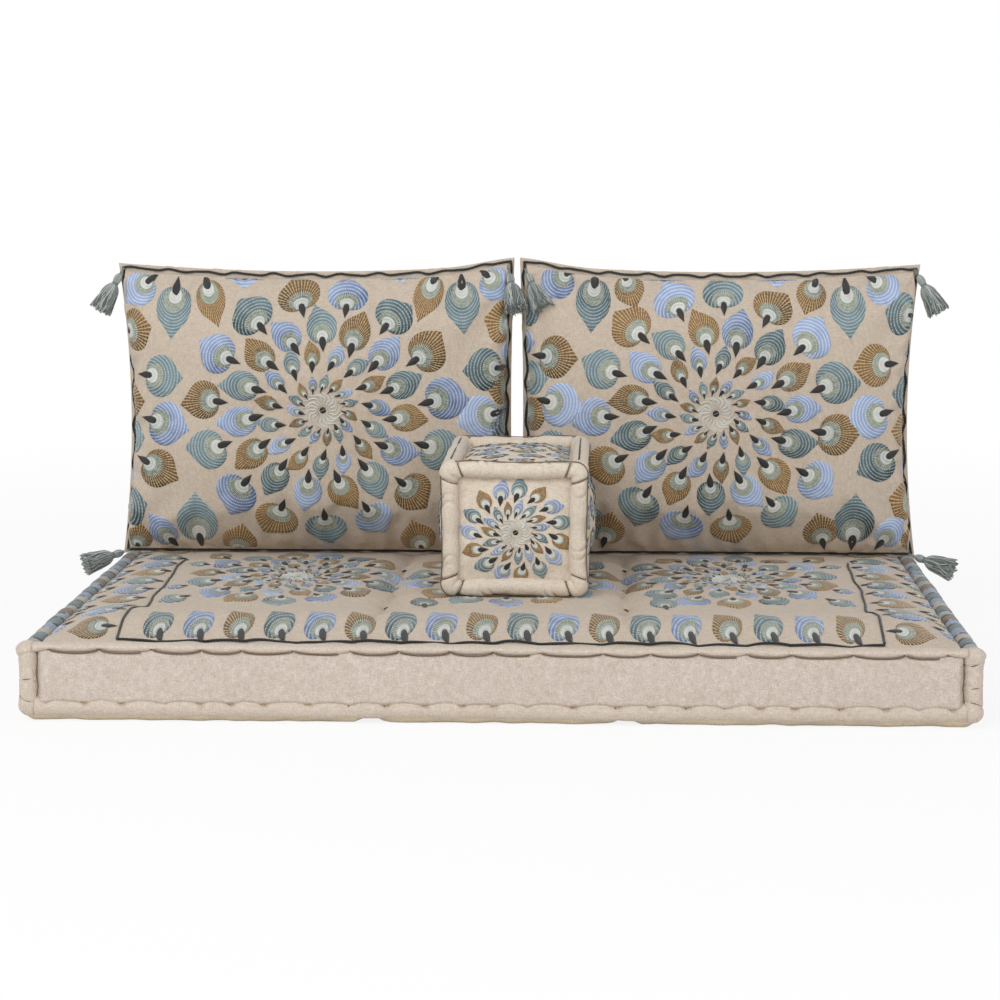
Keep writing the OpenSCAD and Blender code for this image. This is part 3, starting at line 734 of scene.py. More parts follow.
def seat_underside():
    """The bottom panel, which bulges in three lobes between the channels."""
    half_x, half_y = SEAT_W / 2 - 0.0075, SEAT_D / 2 - 0.0075
    x, y = np.meshgrid(spread(199) * half_x, spread(129) * half_y)
    swollen = swell((half_x - abs(x)) / 0.016) * swell((half_y - abs(y)) / 0.016)
    across = 1 - ease(abs(abs(x) - CHANNEL_X) / 0.022)
    z = 0.0085 - 0.009 * swollen + 0.0075 * across
    z += 0.0010 * waves(8, 10, 0.03, 0.08, x, y) * bell(half_y - abs(y), 0.02)
    z = np.clip(z, 0.0, 0.0095)
    build = Build()
    build.shell(np.stack([x, y, z], 2), np.stack([x, y, z + 0.002], 2), flip=True)
    build.object("seat_underside", [LINEN_UNDER], "seat", "linen", ("seat_bottom_panel",))


def stitched_roll(build, start, end, radius, drop, outward, pitch, seed=0, banded=0.0, flat=1.0):
    """A straight rolled edge between two points. Stitches every pitch pull it in on the side of drop."""
    start, end = np.array(start, float), np.array(end, float)
    length = np.linalg.norm(end - start)
    ahead = (end - start) / length
    outward, up = np.array(outward, float), np.array([0, 0, 1.0])
    along = np.linspace(0, length, int(length / MESH_STEP))
    mid = along - length / 2
    turns = circle(25)
    near = stitches(mid, pitch)
    lumps = 1 + 0.03 * waves(seed, 8, 0.05, 0.16, mid)
    wander = 0.0006 * waves(seed + 1, 6, 0.09, 0.3, mid)
    bands = 1 - banded * abs(np.cos(mid * math.pi / STRIPE_WIDTH)) ** 6
    points = np.zeros((len(along), len(turns), 3))
    for q, turn in enumerate(turns):
        out, high = math.cos(turn), math.sin(turn)
        toward = max(0.0, high * drop) ** 0.8
        r = radius * lumps * (1.0 - near ** 2.2 * (0.07 + 0.26 * toward)) * bands
        fall = drop * 0.0026 * toward * (1 - near) ** 0.7
        wrinkle = 0.0004 * np.sin(mid * 420 + 3 * turn) * near
        out, high = r * out + wrinkle, r * high * flat + fall + wander
        points[:, q] = start + along[:, None] * ahead + out[:, None] * outward + high[:, None] * up
    build.grid(points, flip=ahead.dot(np.cross(outward, up)) < 0)
    for row in (0, -1):
        build.cap(points[row][:-1])
    for s in stitch_places(length / 2, pitch):
        if abs(s) > length / 2 - 0.01:
            continue
        place = start + (s + length / 2) * ahead
        path = []
        for t in np.linspace(-1, 1, 7):
            turn = math.radians(46 + 34 * t)
            r = radius * 0.80 + 0.0007 - 0.0006 * t * t
            high = r * drop * flat * math.sin(turn)
            path.append(place + ahead * 0.003 * t + outward * r * math.cos(turn) + up * high)
        build.tube(path, 0.0006, 5, 1)


def seat_rolls():
    """The rolled edges: a piece for each of the four above, and one piece for those below."""
    end_x, end_y = SEAT_W / 2 - 1.6 * CORNER_R, SEAT_D / 2 - 1.6 * CORNER_R
    bottom = Build()
    for n, (sign, name) in enumerate(((-1, "front"), (1, "rear"), *SIDES)):
        across = n < 2
        outward = (0, sign, 0) if across else (sign, 0, 0)
        top = Build()
        for build, radius, z, drop, pitch in (
                (top, TOP_ROLL_R, SEAT_H - TOP_ROLL_R, -1, STITCH_PITCH),
                (bottom, BOTTOM_ROLL_R, ROLL_LIFT + BOTTOM_ROLL_R, 1, LOW_PITCH)):
            flat, overhang = (0.42, 0.0020) if across and build is top else (1.0, 0.0)
            face = (SEAT_D if across else SEAT_W) / 2 - radius + overhang
            z += radius * (1 - flat)
            ends = [(e * end_x, sign * face, z) if across else (sign * face, e * end_y, z) for e in (-1, 1)]
            banded = 0.07 if build is top and not across else 0.0
            stitched_roll(build, *ends, radius, drop, outward, pitch, 20 + n, banded, flat)
        top.cover(f"seat_top_roll_{name}", [LINEN_ROLL if across else STRIPES, BROWN_STITCH_AND_SEAM_SHADE], "seat",
                  "linen" if across else "embroidered_stripes", "stitch")
    bottom.object("seat_bottom_roll_cover", [LINEN_ROLL, BROWN_STITCH_AND_SEAM_SHADE], "seat", "linen",
                  ("seat_bottom_rolls",), "stitch")


def seat_boxing():
    """The plain band round the seat. It is full between its scalloped seams, where it turns in."""
    for sign, across, name in ((-1, 1, "front"), (1, 1, "rear"), (-1, 0, "left"), (1, 0, "right")):
        half = (SEAT_W if across else SEAT_D) / 2 - 2 * CORNER_R + 0.001
        face = (SEAT_D if across else SEAT_W) / 2 + 0.0004
        s, h = np.meshgrid(np.linspace(-half, half, int(half * 2 / MESH_STEP)), spread(32))
        high = (0.0900 if across else 0.0860) + 0.0038 * stitches(s, STITCH_PITCH) ** 1.4
        low = 0.0262 - 0.0036 * stitches(s, LOW_PITCH) ** 1.4
        z = low + (high - low) * (h + 1) / 2
        tucked = 0.0095 * np.maximum(abs(h) ** 30, ease((abs(s) - half + 0.005) / 0.005))
        out = 0.0007 * (1 - h * h) + 0.0005 * waves(60 + sign, 10, 0.03, 0.12, s, h * 0.03)
        out -= 0.0010 * abs(h) ** 5 * stitches(s, STITCH_PITCH)
        out = sign * (face + out - tucked)
        outer = np.stack([s, out, z] if across else [out, s, z], 2)
        inner = outer.copy()
        inner[:, :, across] = sign * (face - 0.011)
        build = Build()
        build.shell(outer, inner, flip=(sign > 0) == bool(across))
        seam_shade_and_threads(build, sign, across, half)
        build.cover(f"seat_boxing_{name}", [LINEN_PLAIN, BROWN_STITCH_AND_SEAM_SHADE, TAN_STITCH], "seat",
                    attribute="stitch")


def seam_shade_and_threads(build, sign, across, half):
    """Painted shade in the band's upper seam: a brown line in the crease under the roll, where the seam also
    shows. Brown thread at its ends, and tan stitches in its lower seam.
    """
    face = (SEAT_D if across else SEAT_W) / 2

    def place(s, out, z):
        return (s, sign * (face + out), z) if across else (sign * (face + out), s, z)

    knots = stitch_places(half, STITCH_PITCH)
    # Painted shade: brown tubes along the crease under the rolled edge stand for the seam and the shadow in
    # it
    for k in range(len(knots) - 1):
        s = knots[k] + (knots[k + 1] - knots[k]) * np.linspace(0.02, 0.98 - 0.2 * (k % 4 == 1), 16)
        z = (0.0884 if across else 0.0852) + 0.0038 * stitches(s, STITCH_PITCH) ** 1.4
        build.tube([place(a, 0.0010 if across else 0.0, b) for a, b in zip(s, z)], 0.0008, 5, 1)
    for k, s in enumerate(stitch_places(half, LOW_PITCH)):
        if k % 5 != 3 and abs(s) < half - 0.01:
            z = 0.0258 + 0.0004 * (k % 2)
            build.tube([place(s + t, 0.0016, z + 0.06 * t) for t in (-0.0045, 0, 0.0045)], THREAD_R, 5, 2)
    for end in (-1, 1):
        s = end * (half - 0.0008)
        path = [place(s + 0.0012 * math.sin(z * 190 + end), 0.0008, z) for z in np.linspace(0.033, 0.083, 16)]
        build.tube(path, THREAD_R, 5, 1)


def seat_corner(side, end, name):
    """An upright rolled corner: a knob at its top and bottom, and folds where the fabric is gathered."""
    low, high = ROLL_LIFT, SEAT_H + 0.002
    centre = np.array([side * (SEAT_W / 2 - CORNER_R), end * (SEAT_D / 2 - CORNER_R)])
    outward = np.array([side, end]) / math.sqrt(2)
    z = np.concatenate([[low], np.linspace(low, high, 70), [high]])
    turns = circle(33)
    reach = np.clip(np.minimum(z - low, high - z) / CORNER_R, 0, 1)
    cap = np.sqrt(np.clip(1 - (1 - reach) ** 2, 0.0004, 1))
    body = 1 + 0.12 * bell(z - 0.093, 0.008) + 0.05 * bell(z - 0.019, 0.012) - 0.04 * bell(z - 0.064, 0.02)
    points = np.zeros((len(z), len(turns), 3))
    for q, turn in enumerate(turns):
        direction = np.array([math.cos(turn), math.sin(turn)])
        across = direction.dot((-outward[1], outward[0]))
        folds = 0.14 * bell(z - 0.0840 - 0.005 * across, 0.0018)
        folds += 0.11 * bell(z - 0.0300 + 0.005 * across, 0.0018)
        folds += 0.08 * bell(z - 0.0530 - 0.003 * math.sin(2 * turn), 0.0014)
        r = CORNER_R * cap * body * (1.0 - folds) + 0.0002 * math.sin(5 * turn)
        shift = 0.0024 * bell(z - 0.092, 0.012) + 0.0010 * bell(z - 0.016, 0.012)
        points[:, q, :2] = centre + r[:, None] * direction + shift[:, None] * outward
        points[:, q, 2] = z
    build = Build()
    build.grid(points[1:-1])
    for row in (1, -2):
        build.cap(points[row][:-1], flip=row > 0)
    r = CORNER_R * 0.94
    for level, lean in ((0.0840, 0.005), (0.0530, 0.002), (0.0300, -0.005)):
        path = []
        for t in np.linspace(-1.1, 1.1, 12):
            turn = math.atan2(outward[1], outward[0]) + t
            x, y = centre[0] + r * math.cos(turn), centre[1] + r * math.sin(turn)
            path.append((x, y, level + lean * math.sin(t)))
        build.tube(path, 0.0005, 5, 1)
    build.object(f"seat_corner_{name}_cover", [LINEN_ROLL, BROWN_STITCH_AND_SEAM_SHADE], "seat", "linen",
                 (f"seat_corner_roll_{name}",), "stitch")


def seat_cords(surface):
    """Black cords in the seams of the top, a little wavy as sewn by hand."""
    build = Build()
    path = []
    for x in np.linspace(side_seam_x(-1, -0.368), side_seam_x(1, -0.368), 280):
        y = CORD_Y + 0.0012 * math.sin(x * 61) + 0.0008 * math.sin(x * 143)
        lift = 0.0012 + 0.0012 * math.sin(x * 37 + 1) + 0.0005 * math.sin(x * 97)
        path.append((x, y, height_of(surface, x, CORD_Y + 0.001) + lift))
    build.tube(path, CORD_R)
    build.cover("seat_front_cord", [CORD], "seat", "seam_cord")
    for side, name in SIDES:
        build = Build()
        path = []
        for y in np.linspace(-0.366, EDGE_Y - 0.002, 260):
            x = float(side_seam_x(side, y))
            sunk = 0.0032 * float(ease((y - STEP_Y) / 0.03))
            path.append((x, y, height_of(surface, x, y) + 0.0007 - sunk))
        build.tube(path, 0.0017)
        build.cover(f"seat_side_cord_{name}", [CORD], "seat", "seam_cord")


def seat_ties(surface):
    """Knots of three crossed stitches where the channels are tied down."""
    build = Build()
    for side in (-1, 1):
        for row in TIE_ROWS:
            x = side * CHANNEL_X
            z = height_of(surface, x, row) - 0.0004
            for k in range(3):
                turn = math.pi * k / 3 + 0.4 * side
                dx, dy = 0.0042 * math.cos(turn), 0.0042 * math.sin(turn)
                path = [(x + dx * t, row + dy * t, z + 0.0021 * (1 - t * t)) for t in np.linspace(-1, 1, 9)]
                build.tube(path, 0.0011, 6)
    build.object("seat_tie_knots", [CORD], "seat", "seam_cord", ("seat_tuft_ties",))


# Rings of a rosette: radius, the feathers' reach, slimness and twist
SEAT_RINGS = (
    (0.034, 0.019, 0.62, 0.25), (0.063, 0.030, 0.66, 0.20),
    (0.100, 0.047, 0.72, 0.12), (0.154, 0.053, 0.98, 0.05))
# Feathers round a seat rosette, mirrored: place from its middle, heading, reach, slimness, colour
SEAT_FILLERS = (
    (0.134, -0.118, -40, 0.036, 0.80, TEAL), (0.128, 0.118, 40, 0.034, 0.85, BRONZE),
    (0.146, 0.062, 15, 0.026, 0.80, TEAL), (0.148, -0.062, -20, 0.024, 0.80, PERIWINKLE))
FRONT_ROW_Y, FRONT_FEATHERS = -0.3535, 18
BORDER_STEP = 0.0745


def seat_embroidery(surface):
    """Three rosettes, a row along the front and two side borders, drawn long from front to rear."""
    art = Embroidery()
    for n, cx in enumerate((-0.305, 0.0, 0.305)):
        art.base, art.stretch = SEAT_ROSETTE_Y, 1.58
        art.rosette(cx, SEAT_ROSETTE_Y, 0.76, SEAT_RINGS, shift=n, turn=math.pi / 2)
        for side in (-1, 1):
            for dx, dy, heading, reach, slim, colour in SEAT_FILLERS:
                if abs(abs(cx + side * dx) - CHANNEL_X) > 0.04:
                    turn = math.radians(heading if side > 0 else 180 - heading)
                    art.leaf(cx + side * dx, SEAT_ROSETTE_Y + dy, turn, reach, slim, colour)
    art.base, art.stretch = -0.358, 2.45
    for k in range(FRONT_FEATHERS):
        x = (k - (FRONT_FEATHERS - 1) / 2) * 0.0515 + 0.009
        reach = 0.036 + 0.004 * math.sin(math.pi * (k + 0.5) / FRONT_FEATHERS)
        art.leaf(x, FRONT_ROW_Y, math.radians(117), reach, 1.0, EMBROIDERY_COLOURS[k % 3], 0.1, 0.33)
    art.base, art.stretch = -0.150, 1.7
    for side in (-1, 1):
        art.leaf(side * CHANNEL_X + 0.053, art.base, math.radians(98), 0.038, 0.85, TEAL, 0.2)

    def inside(a, b):
        limit = abs(side_seam_x(np.sign(a), b)) - 0.004
        return np.clip(a, -limit, limit), np.clip(b, -EDGE_Y + 0.0065, EDGE_Y - 0.004)

    def above(a, b):
        return a, b, ABOVE

    art.lay(surface, inside, above, DOWN)
    art.finish("seat_embroidery", "seat")
    for side, name in SIDES:
        border = Embroidery()
        outward = 0.0 if side > 0 else math.pi
        for k in range(10):
            y = -0.332 + BORDER_STEP * k
            border.leaf(side * 0.501, y, outward - 0.12 * side, 0.048, 1.15, EMBROIDERY_COLOURS[(2 - k) % 3])
            border.leaf(side * 0.559, y + 0.036, outward, 0.032, 1.1, EMBROIDERY_COLOURS[(k + 1) % 3])

        def beside(a, b, side=side):
            near, far = abs(side_seam_x(side, b)) + 0.004, EDGE_X - 0.002
            return side * np.clip(a * side, near, far), np.clip(b, -EDGE_Y + 0.003, EDGE_Y - 0.003)

        border.lay(surface, beside, above, DOWN)
        border.finish(f"seat_border_embroidery_{name}", "seat")


# Back cushions


def puff(u, v):
    tall = np.where(v < 0, 1 - abs(v) ** 4, 1 - abs(v) ** 2.4)
    return np.clip(1 - abs(u) ** 2.4, 0, 1) ** 0.55 * np.clip(tall, 0, 1) ** 0.55


def inner_corner(outward):
    """How far the top edge rises towards the corner where the two cushions meet."""
    return 0.009 * ease((-outward - 0.55) / 0.45) ** 1.5


def cushion_place(u, v, inset, low, side):
    """A place in the cushion's outline plane: its outer side draws in more than its inner one."""
    height = CUSHION_H - inset - low
    pull = np.where(u * side > 0, PULL_OUTER, PULL_INNER)
    x = u * (CUSHION_W / 2 - inset - pull * (1 - v * v))
    z = low + height * (1 + v) / 2 - SAG * (1 - u * u) * np.maximum(v, 0) ** 2
    return x, z + inner_corner(u * side) * np.maximum(v, 0) ** 6


def settle(piece, pinned, cap, frames=20):
    """Inflates a closed cover with cloth physics and keeps where it goes, up to cap."""
    rest = points_of(piece.data)
    group = piece.vertex_groups.new(name="seam")
    group.add([int(i) for i in np.flatnonzero(pinned(rest))], 1.0, "REPLACE")
    cloth = piece.modifiers.new("inflate", "CLOTH")
    for setting, value in dict(
            quality=6, mass=0.25, use_pressure=True, uniform_pressure_force=4.0, vertex_group_mass=group.name,
            shrink_min=-0.035, shrink_max=-0.035, tension_stiffness=18.0, compression_stiffness=18.0,
            bending_stiffness=0.6).items():
        setattr(cloth.settings, setting, value)
    cloth.settings.effector_weights.gravity = 0.0
    cloth.collision_settings.use_collision = False
    cloth.point_cache.frame_start, cloth.point_cache.frame_end = 1, frames
    for step in range(1, frames + 1):
        bpy.context.scene.frame_set(step)
    shift = points_of(evaluated(piece)) - rest
    shift *= np.minimum(1, cap / np.maximum(np.linalg.norm(shift, axis=1), 1e-9))[:, None]
    piece.modifiers.remove(cloth)
    piece.vertex_groups.remove(group)
    bpy.context.scene.frame_set(1)
    return rest + shift


def cushion_cover(side, name):
    """A stuffed cover: the front panel inside the cord, the rear one round it and a groove between them."""
    u, v = np.meshgrid(spread(120), spread(90))
    rise, edge = 1 - abs(u), 1 - np.maximum(abs(u), abs(v))
    full = puff(u, v)
    middle_x, middle_z = ROSETTE_AT[side]
    build = Build()
    rims = []
    for facing, inset, low in ((-1, PANEL_INSET, CORD_D), (1, 0.0, 0.0)):
        held = np.sign(u) * (1 - (rise - 0.05 * (1 - np.exp(-rise / 0.05))) / 0.95)
        x, z = cushion_place(held if facing < 0 else u, v, inset, low, side)
        depth = 0.0035 + (SWOLLEN - 0.004) * full
        along = np.where(abs(u) > abs(v), z, x)
        pucker = np.sin(2 * math.pi * along / 0.033 + 2 * waves(70 + facing, 5, 0.1, 0.3, x, z))
        depth += 0.0022 * pucker * bell(edge - 0.07, 0.06) * (full > 0)
        depth += 0.0022 * waves(75 + facing + side, 9, 0.12, 0.28, x, z) * full
        if facing < 0:
            belly = ease(rise / 0.012) * (1 - ease((rise - 0.03) / 0.2)) * (1 - v ** 8)
            x = x + np.sign(u) * np.where(u * side > 0, 0.0105, 0.0095) * belly
            dx, dz = x - middle_x, z - CUSHION_H / 2 - middle_z
            depth += star(dx, dz, 0.0009, 0.09, 15, 0, 0.02) - 0.006 * bell(np.hypot(dx, dz), 0.03)
        for cu in (-1, 1):
            for cv in (-1, 1):
                dx, dz = x - cu * CUSHION_W / 2, z - (CUSHION_H if cv > 0 else 0)
                fan = np.sin(11 * np.arctan2(dz, dx * cu) + cv + cu)
                depth += 0.0028 * fan * bell(np.hypot(dx, dz) - 0.09, 0.06) * ease(edge / 0.08)
        points = np.stack([side * CUSHION_X + x, CUSHION_Y + facing * depth, CUSHION_Z + z], 2)
        build.grid(points, flip=facing > 0)
        rims.append(edge_of(points))
    front, rear = rims
    groove, front_lip = front.copy(), rear.copy()
    groove[:, 1], front_lip[:, 1] = CUSHION_Y + 0.0008, CUSHION_Y + 0.0005
    build.grid(np.stack([front, groove, front_lip, rear], 1), wrap=True, flip=True)
    solids = [f"{name}_cushion_{part}" for part in ("filling", "front_panel", "rear_panel")]
    piece = build.object(f"{name}_cushion_cover", [LINEN_FACE], f"{name}_back_cushion", "embroidered_linen",
                         solids, padded=True)
    points = settle(piece, lambda p: abs(p[:, 1] - CUSHION_Y) < 0.006, 0.009)
    points[:, 1] = np.clip(points[:, 1], CUSHION_FRONT, CUSHION_REAR)
    points[:, 2] = np.maximum(points[:, 2], CUSHION_Z)
    piece.data.vertices.foreach_set("co", points.ravel())
    piece.data.update()
    smooth = piece.modifiers.new("smooth", "SUBSURF")
    smooth.levels = smooth.render_levels = 1
    return piece


def cushion_cord(side, name):
    """The black cord round a cushion, a little wavy between its stitches."""
    u, v = spread(120)[:-1], spread(90)[:-1]
    path = []
    for us, vs in ((u, 0 * u - 1), (0 * v + 1, v), (-u, 0 * u + 1), (0 * v - 1, -v)):
        x, z = cushion_place(us, vs, 0.0054, 0.0022, side)
        path.append(np.stack([side * CUSHION_X + x, 0 * x + CUSHION_Y - 0.0013, CUSHION_Z + z], 1))
    path = np.concatenate(path)
    s = 2 * math.pi * lengths_along(path)
    wobble = 0.0019 * np.sin(s / 0.052 + side) + 0.0008 * np.sin(s / 0.031)
    middle = np.array([side * CUSHION_X, CUSHION_Y, CUSHION_Z + CUSHION_H / 2])
    path = path + unit((path - middle) * (1, 0, 1)) * wobble[:, None]
    path[:, 2] = np.maximum(path[:, 2], CUSHION_Z + CORD_D / 2 + 0.0002)
    path[:, 1] += 0.0007 * np.sin(s / 0.041)
    build = Build()
    build.tube(path, CORD_R, closed=True)
    build.object(f"{name}_cushion_cord", [CORD], f"{name}_back_cushion", "seam_cord",
                 (f"{name}_cushion_edge_cord",))


CUSHION_RINGS = (
    (0.0340, 0.023, 0.52, -0.35), (0.0710, 0.036, 0.58, -0.28),
    (0.1055, 0.057, 0.68, 0.12), (0.1590, 0.060, 0.88, 0.06))
# Feathers along a cushion's border, mirrored: place from its middle, heading, reach, slimness, colour
BORDER_LEAVES = (
    (-0.206, 0.177, -94, 0.071, 0.66, TEAL), (-0.160, 0.185, -70, 0.064, 0.60, BRONZE),
    (-0.247, 0.192, -140, 0.052, 0.85, PERIWINKLE), (-0.105, 0.224, -90, 0.044, 1.15, PERIWINKLE),
    (-0.245, 0.054, -4, 0.053, 1.02, TEAL), (-0.239, -0.013, -14, 0.058, 0.98, PERIWINKLE),
    (-0.250, -0.076, -28, 0.056, 0.92, BRONZE), (-0.280, 0.118, 10, 0.041, 1.3, BRONZE),
    (-0.288, 0.014, 0, 0.036, 1.2, BRONZE), (-0.288, -0.040, 0, 0.036, 1.2, TEAL),
    (-0.292, 0.066, 0, 0.020, 1.5, PERIWINKLE), (-0.292, -0.096, 0, 0.022, 1.4, PERIWINKLE),
    (-0.290, -0.146, 10, 0.040, 1.3, TEAL), (-0.176, -0.190, 91, 0.072, 0.76, TEAL),
    (-0.220, -0.196, 126, 0.053, 0.70, PERIWINKLE), (-0.120, -0.214, 76, 0.048, 0.95, BRONZE),
    (-0.272, -0.206, 75, 0.038, 0.9, BRONZE),
)
ROSETTE_AT = {-1: (0.016, 0.005), 1: (-0.006, 0.002)}
SWAPPED = {TEAL: BRONZE, BRONZE: TEAL, PERIWINKLE: PERIWINKLE}


def nudge(side, inner, x, z):
    """How far a border leaf sits from its mirrored place along x and upwards, and its share of the length."""
    if side < 0:
        if not inner:
            return 0.0, 0.0, 1.0
        if abs(z) > 0.17:
            return (-0.009 - 0.09 * (x + 0.247), 0.008, 1.0) if z > 0 else (-0.037, 0.008, 1.0)
        if x < -0.27:
            return (-0.012, 0.013, 1.0) if z > 0.1 else (-0.004, 0.022, 1.0)
        return -0.028, 0.011, 1.0
    if z > 0.15:
        return 0.021, 0.011 if inner else 0.003, 0.72 if abs(x + 0.16) < 0.01 else 1.0
    if z < -0.18:
        return (-0.048 if inner else -0.036, 0.023, 1.0) if x > -0.13 else (-0.024, 0.003, 1.0)
    if not inner:
        return 0.0, 0.014 + 0.1 * max(0, z), 1.0
    if x < -0.27:
        return -0.020 if z > 0.1 else 0.0, 0.037, 1.0
    return -0.015, 0.030, 1.0


def cushion_embroidery(side, name, surface):
    """A rosette of four rings, and feathers along the border that the seams cut off."""
    art = Embroidery()
    middle = ROSETTE_AT[side]
    art.base, art.stretch, art.squeeze, art.sink = middle[1], 0.99, 0.22, 0.004 if side < 0 else 0.0
    art.rosette(*middle, 1.0, CUSHION_RINGS, shift=1 + side, turn=math.radians(94 + 4 * side))
    art.stretch = 1.0
    for x, z, heading, reach, slim, colour in BORDER_LEAVES:
        if side > 0 and abs(z) < 0.15:
            colour = SWAPPED[colour]
        art.split = 2 if x < -0.27 else 1
        for mirror in (-1, 1):
            turn = math.radians(heading)
            shift, up, share = nudge(side, mirror == -side, x, z)
            art.leaf((x + shift) * -mirror, z + up, turn if mirror < 0 else math.pi - turn, reach * share,
                     slim / share, colour)

    def inside(a, b):
        inset, low = PANEL_INSET + 0.0015, CORD_D + 0.002
        v = np.clip(2 * (b + CUSHION_H / 2 - low) / (CUSHION_H - inset - low) - 1, -0.99, 0.99)
        outer = a * side > 0
        limit = CUSHION_W / 2 - inset - np.where(outer, PULL_OUTER, PULL_INNER) * (1 - v * v)
        limit += np.where(outer, 0.008, 0.006) * (1 - v ** 6) - 0.001
        x = np.clip(a, -limit, limit)
        u = x / limit
        sagging = SAG * (1 - u * u) * np.maximum(v, 0) ** 2
        top = CUSHION_H / 2 - inset - 0.001 - sagging + inner_corner(u * side)
        return x, np.clip(b, -CUSHION_H / 2 + low + 0.003, top)

    def before(a, b):
        return side * CUSHION_X + a, 0.0, CUSHION_Z + CUSHION_H / 2 + b

    art.lay(surface, inside, before, Vector((0, 1, 0)))
    art.finish(f"{name}_cushion_embroidery", f"{name}_back_cushion")


# Tassels

HEAD_TOP, HEAD_LENGTH, HEAD_STRANDS, BINDING_TURNS = 0.009, 0.0175, 26, 5
OUTER_STRANDS, INNER_STRANDS = 60, 40
TASSEL_OUTER_X, TASSEL_INNER_X, TASSEL_Y, TASSEL_TOP_Z, TASSEL_LOW_Z = 0.5878, 0.0122, 0.3239, 0.5311, 0.1065


def head_radius(share):
    return math.sin(min(1.0, share) * math.pi * 0.84) ** 0.6


def skirt_radius(share):
    return 0.0044 + 0.0078 * min(1, share / 0.25) ** 0.7 + 0.0048 * max(0, share - 0.25) / 0.75


def tassel(name, pivot, tilt, heading, seed):
    """Yarn tassel: knot, loop, wrapped head with a binding, and a skirt of loose strands."""
    rng = np.random.default_rng(seed)
    level = math.sin(tilt)
    down = np.array([level * math.sin(heading), -level * math.cos(heading), -math.cos(tilt)])
    side = unit(np.cross(down, (0, 1, 0) if abs(down[1]) < 0.9 else (1, 0, 0)))
    other = np.cross(down, side)

    def at(along, radius, turn):
        return pivot + along * down + radius * (math.cos(turn) * side + math.sin(turn) * other)

    head = Build()
    for turn in (0.3, math.pi + 0.3):
        loop = [at(t * 0.0115, 0.0012 * math.sin(t * math.pi), turn) for t in np.linspace(0, 1, 8)]
        head.tube(loop, 0.0009, 6, shade=0.35)
    t = np.linspace(0, 5.6, 14)
    knot = pivot + 0.0014 * np.stack([np.cos(t), np.sin(2 * t) * 0.5, np.sin(t)], 1)
    head.tube(knot, THREAD_R, 6, shade=0.3)
    for k in range(HEAD_STRANDS):
        turn = 2 * math.pi * k / HEAD_STRANDS
        path = [at(HEAD_TOP + HEAD_LENGTH * t, 0.0054 * head_radius(0.06 + t * 1.06), turn + 0.25 * t)
                for t in np.linspace(0, 1, 10)]
        head.tube(path, 0.00075, 5, shade=rng.uniform(0.2, 0.9))
    core = np.array([[at(a, 0.0051 * head_radius((a - 0.0085) / HEAD_LENGTH), t) for t in circle(21)]
                     for a in np.linspace(0.0088, 0.0262, 12)])
    head.grid(core, values=0.3)
    wound = 2 * math.pi * BINDING_TURNS
    binding = [at(0.0212 + 0.0042 * t / wound, 0.0045, t) for t in np.linspace(0, wound, 80)]
    head.tube(binding, 0.00055, 5, shade=0.25)
    head.object(f"{name}_tassel_binding", [YARN], f"{name}_tassel", "yarn", (node_of(name, "head"),), "shade")

    skirt = Build()
    ridges = [(t, 1 + 0.06 * math.cos(18 * t) + 0.04 * math.sin(31 * t)) for t in circle(73)]
    body = np.array([[at(0.0256 + 0.045 * s, (skirt_radius(s) - 0.0014) * ridge, t) for t, ridge in ridges]
                     for s in np.linspace(0, 0.97, 10)])
    # Painted shade: the skirt's core gets the darkest yarn tone, so the gaps between the strands look
    # shadowed
    skirt.grid(body, values=0.05)
    skirt.cap(body[-1][:-1], values=0.1)
    shares = np.linspace(0, 1, 11)
    for k in range(OUTER_STRANDS + INNER_STRANDS):
        outside = k < OUTER_STRANDS
        ring = 1 if outside else rng.uniform(0.25, 0.85)
        turn = 2 * math.pi * k / OUTER_STRANDS if outside else rng.uniform(0, 2 * math.pi)
        length = 0.0475 * rng.uniform(0.93, 1.0)
        drift, curl = rng.uniform(-0.3, 0.3), rng.uniform(0, 2 * math.pi)
        path = []
        for s in shares:
            radius = (skirt_radius(s) - 0.0009) * ring + 0.0011 * math.sin(9 * s + curl) * s
            way = turn + drift * s + 0.16 * math.sin(8 * s + 2 * curl) * s
            path.append(at(0.0258 + length * s, radius, way))
        skirt.tube(path, np.linspace(0.00080, 0.00070, len(shares)), 5, shade=rng.uniform(0.1, 1.0))
    loose = skirt.object(f"{name}_tassel_strands", [YARN], f"{name}_tassel", "yarn",
                         (node_of(name, "skirt"),), "shade")
    if name.endswith("bottom_inner"):
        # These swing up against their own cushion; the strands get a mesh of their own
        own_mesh(loose)


def node_of(name, part):
    side, rest = name.split("_", 1)
    return f"{side}_cushion_{rest}_tassel_{part}"


def tassels():
    """Each tassel hangs from its corner at a tilt from straight down, with a heading seen from above."""
    for side, name in SIDES:
        outer, inner = side * TASSEL_OUTER_X, side * TASSEL_INNER_X
        for corner, x, z, tilt, heading, seed in (
                ("top_outer", outer, TASSEL_TOP_Z, 30, side * 90, 100),
                ("top_inner", inner, TASSEL_TOP_Z, 38, 16 if side < 0 else 40, 110),
                ("bottom_outer", outer, TASSEL_LOW_Z, 76, side * 60, 120),
                ("bottom_inner", inner, TASSEL_LOW_Z, 105, side * 4, 130)):
            tassel(f"{name}_{corner}", np.array([x, TASSEL_Y, z]), math.radians(tilt), math.radians(heading),
                   seed + side)


# Bolster

TIE_AT = 0.0150


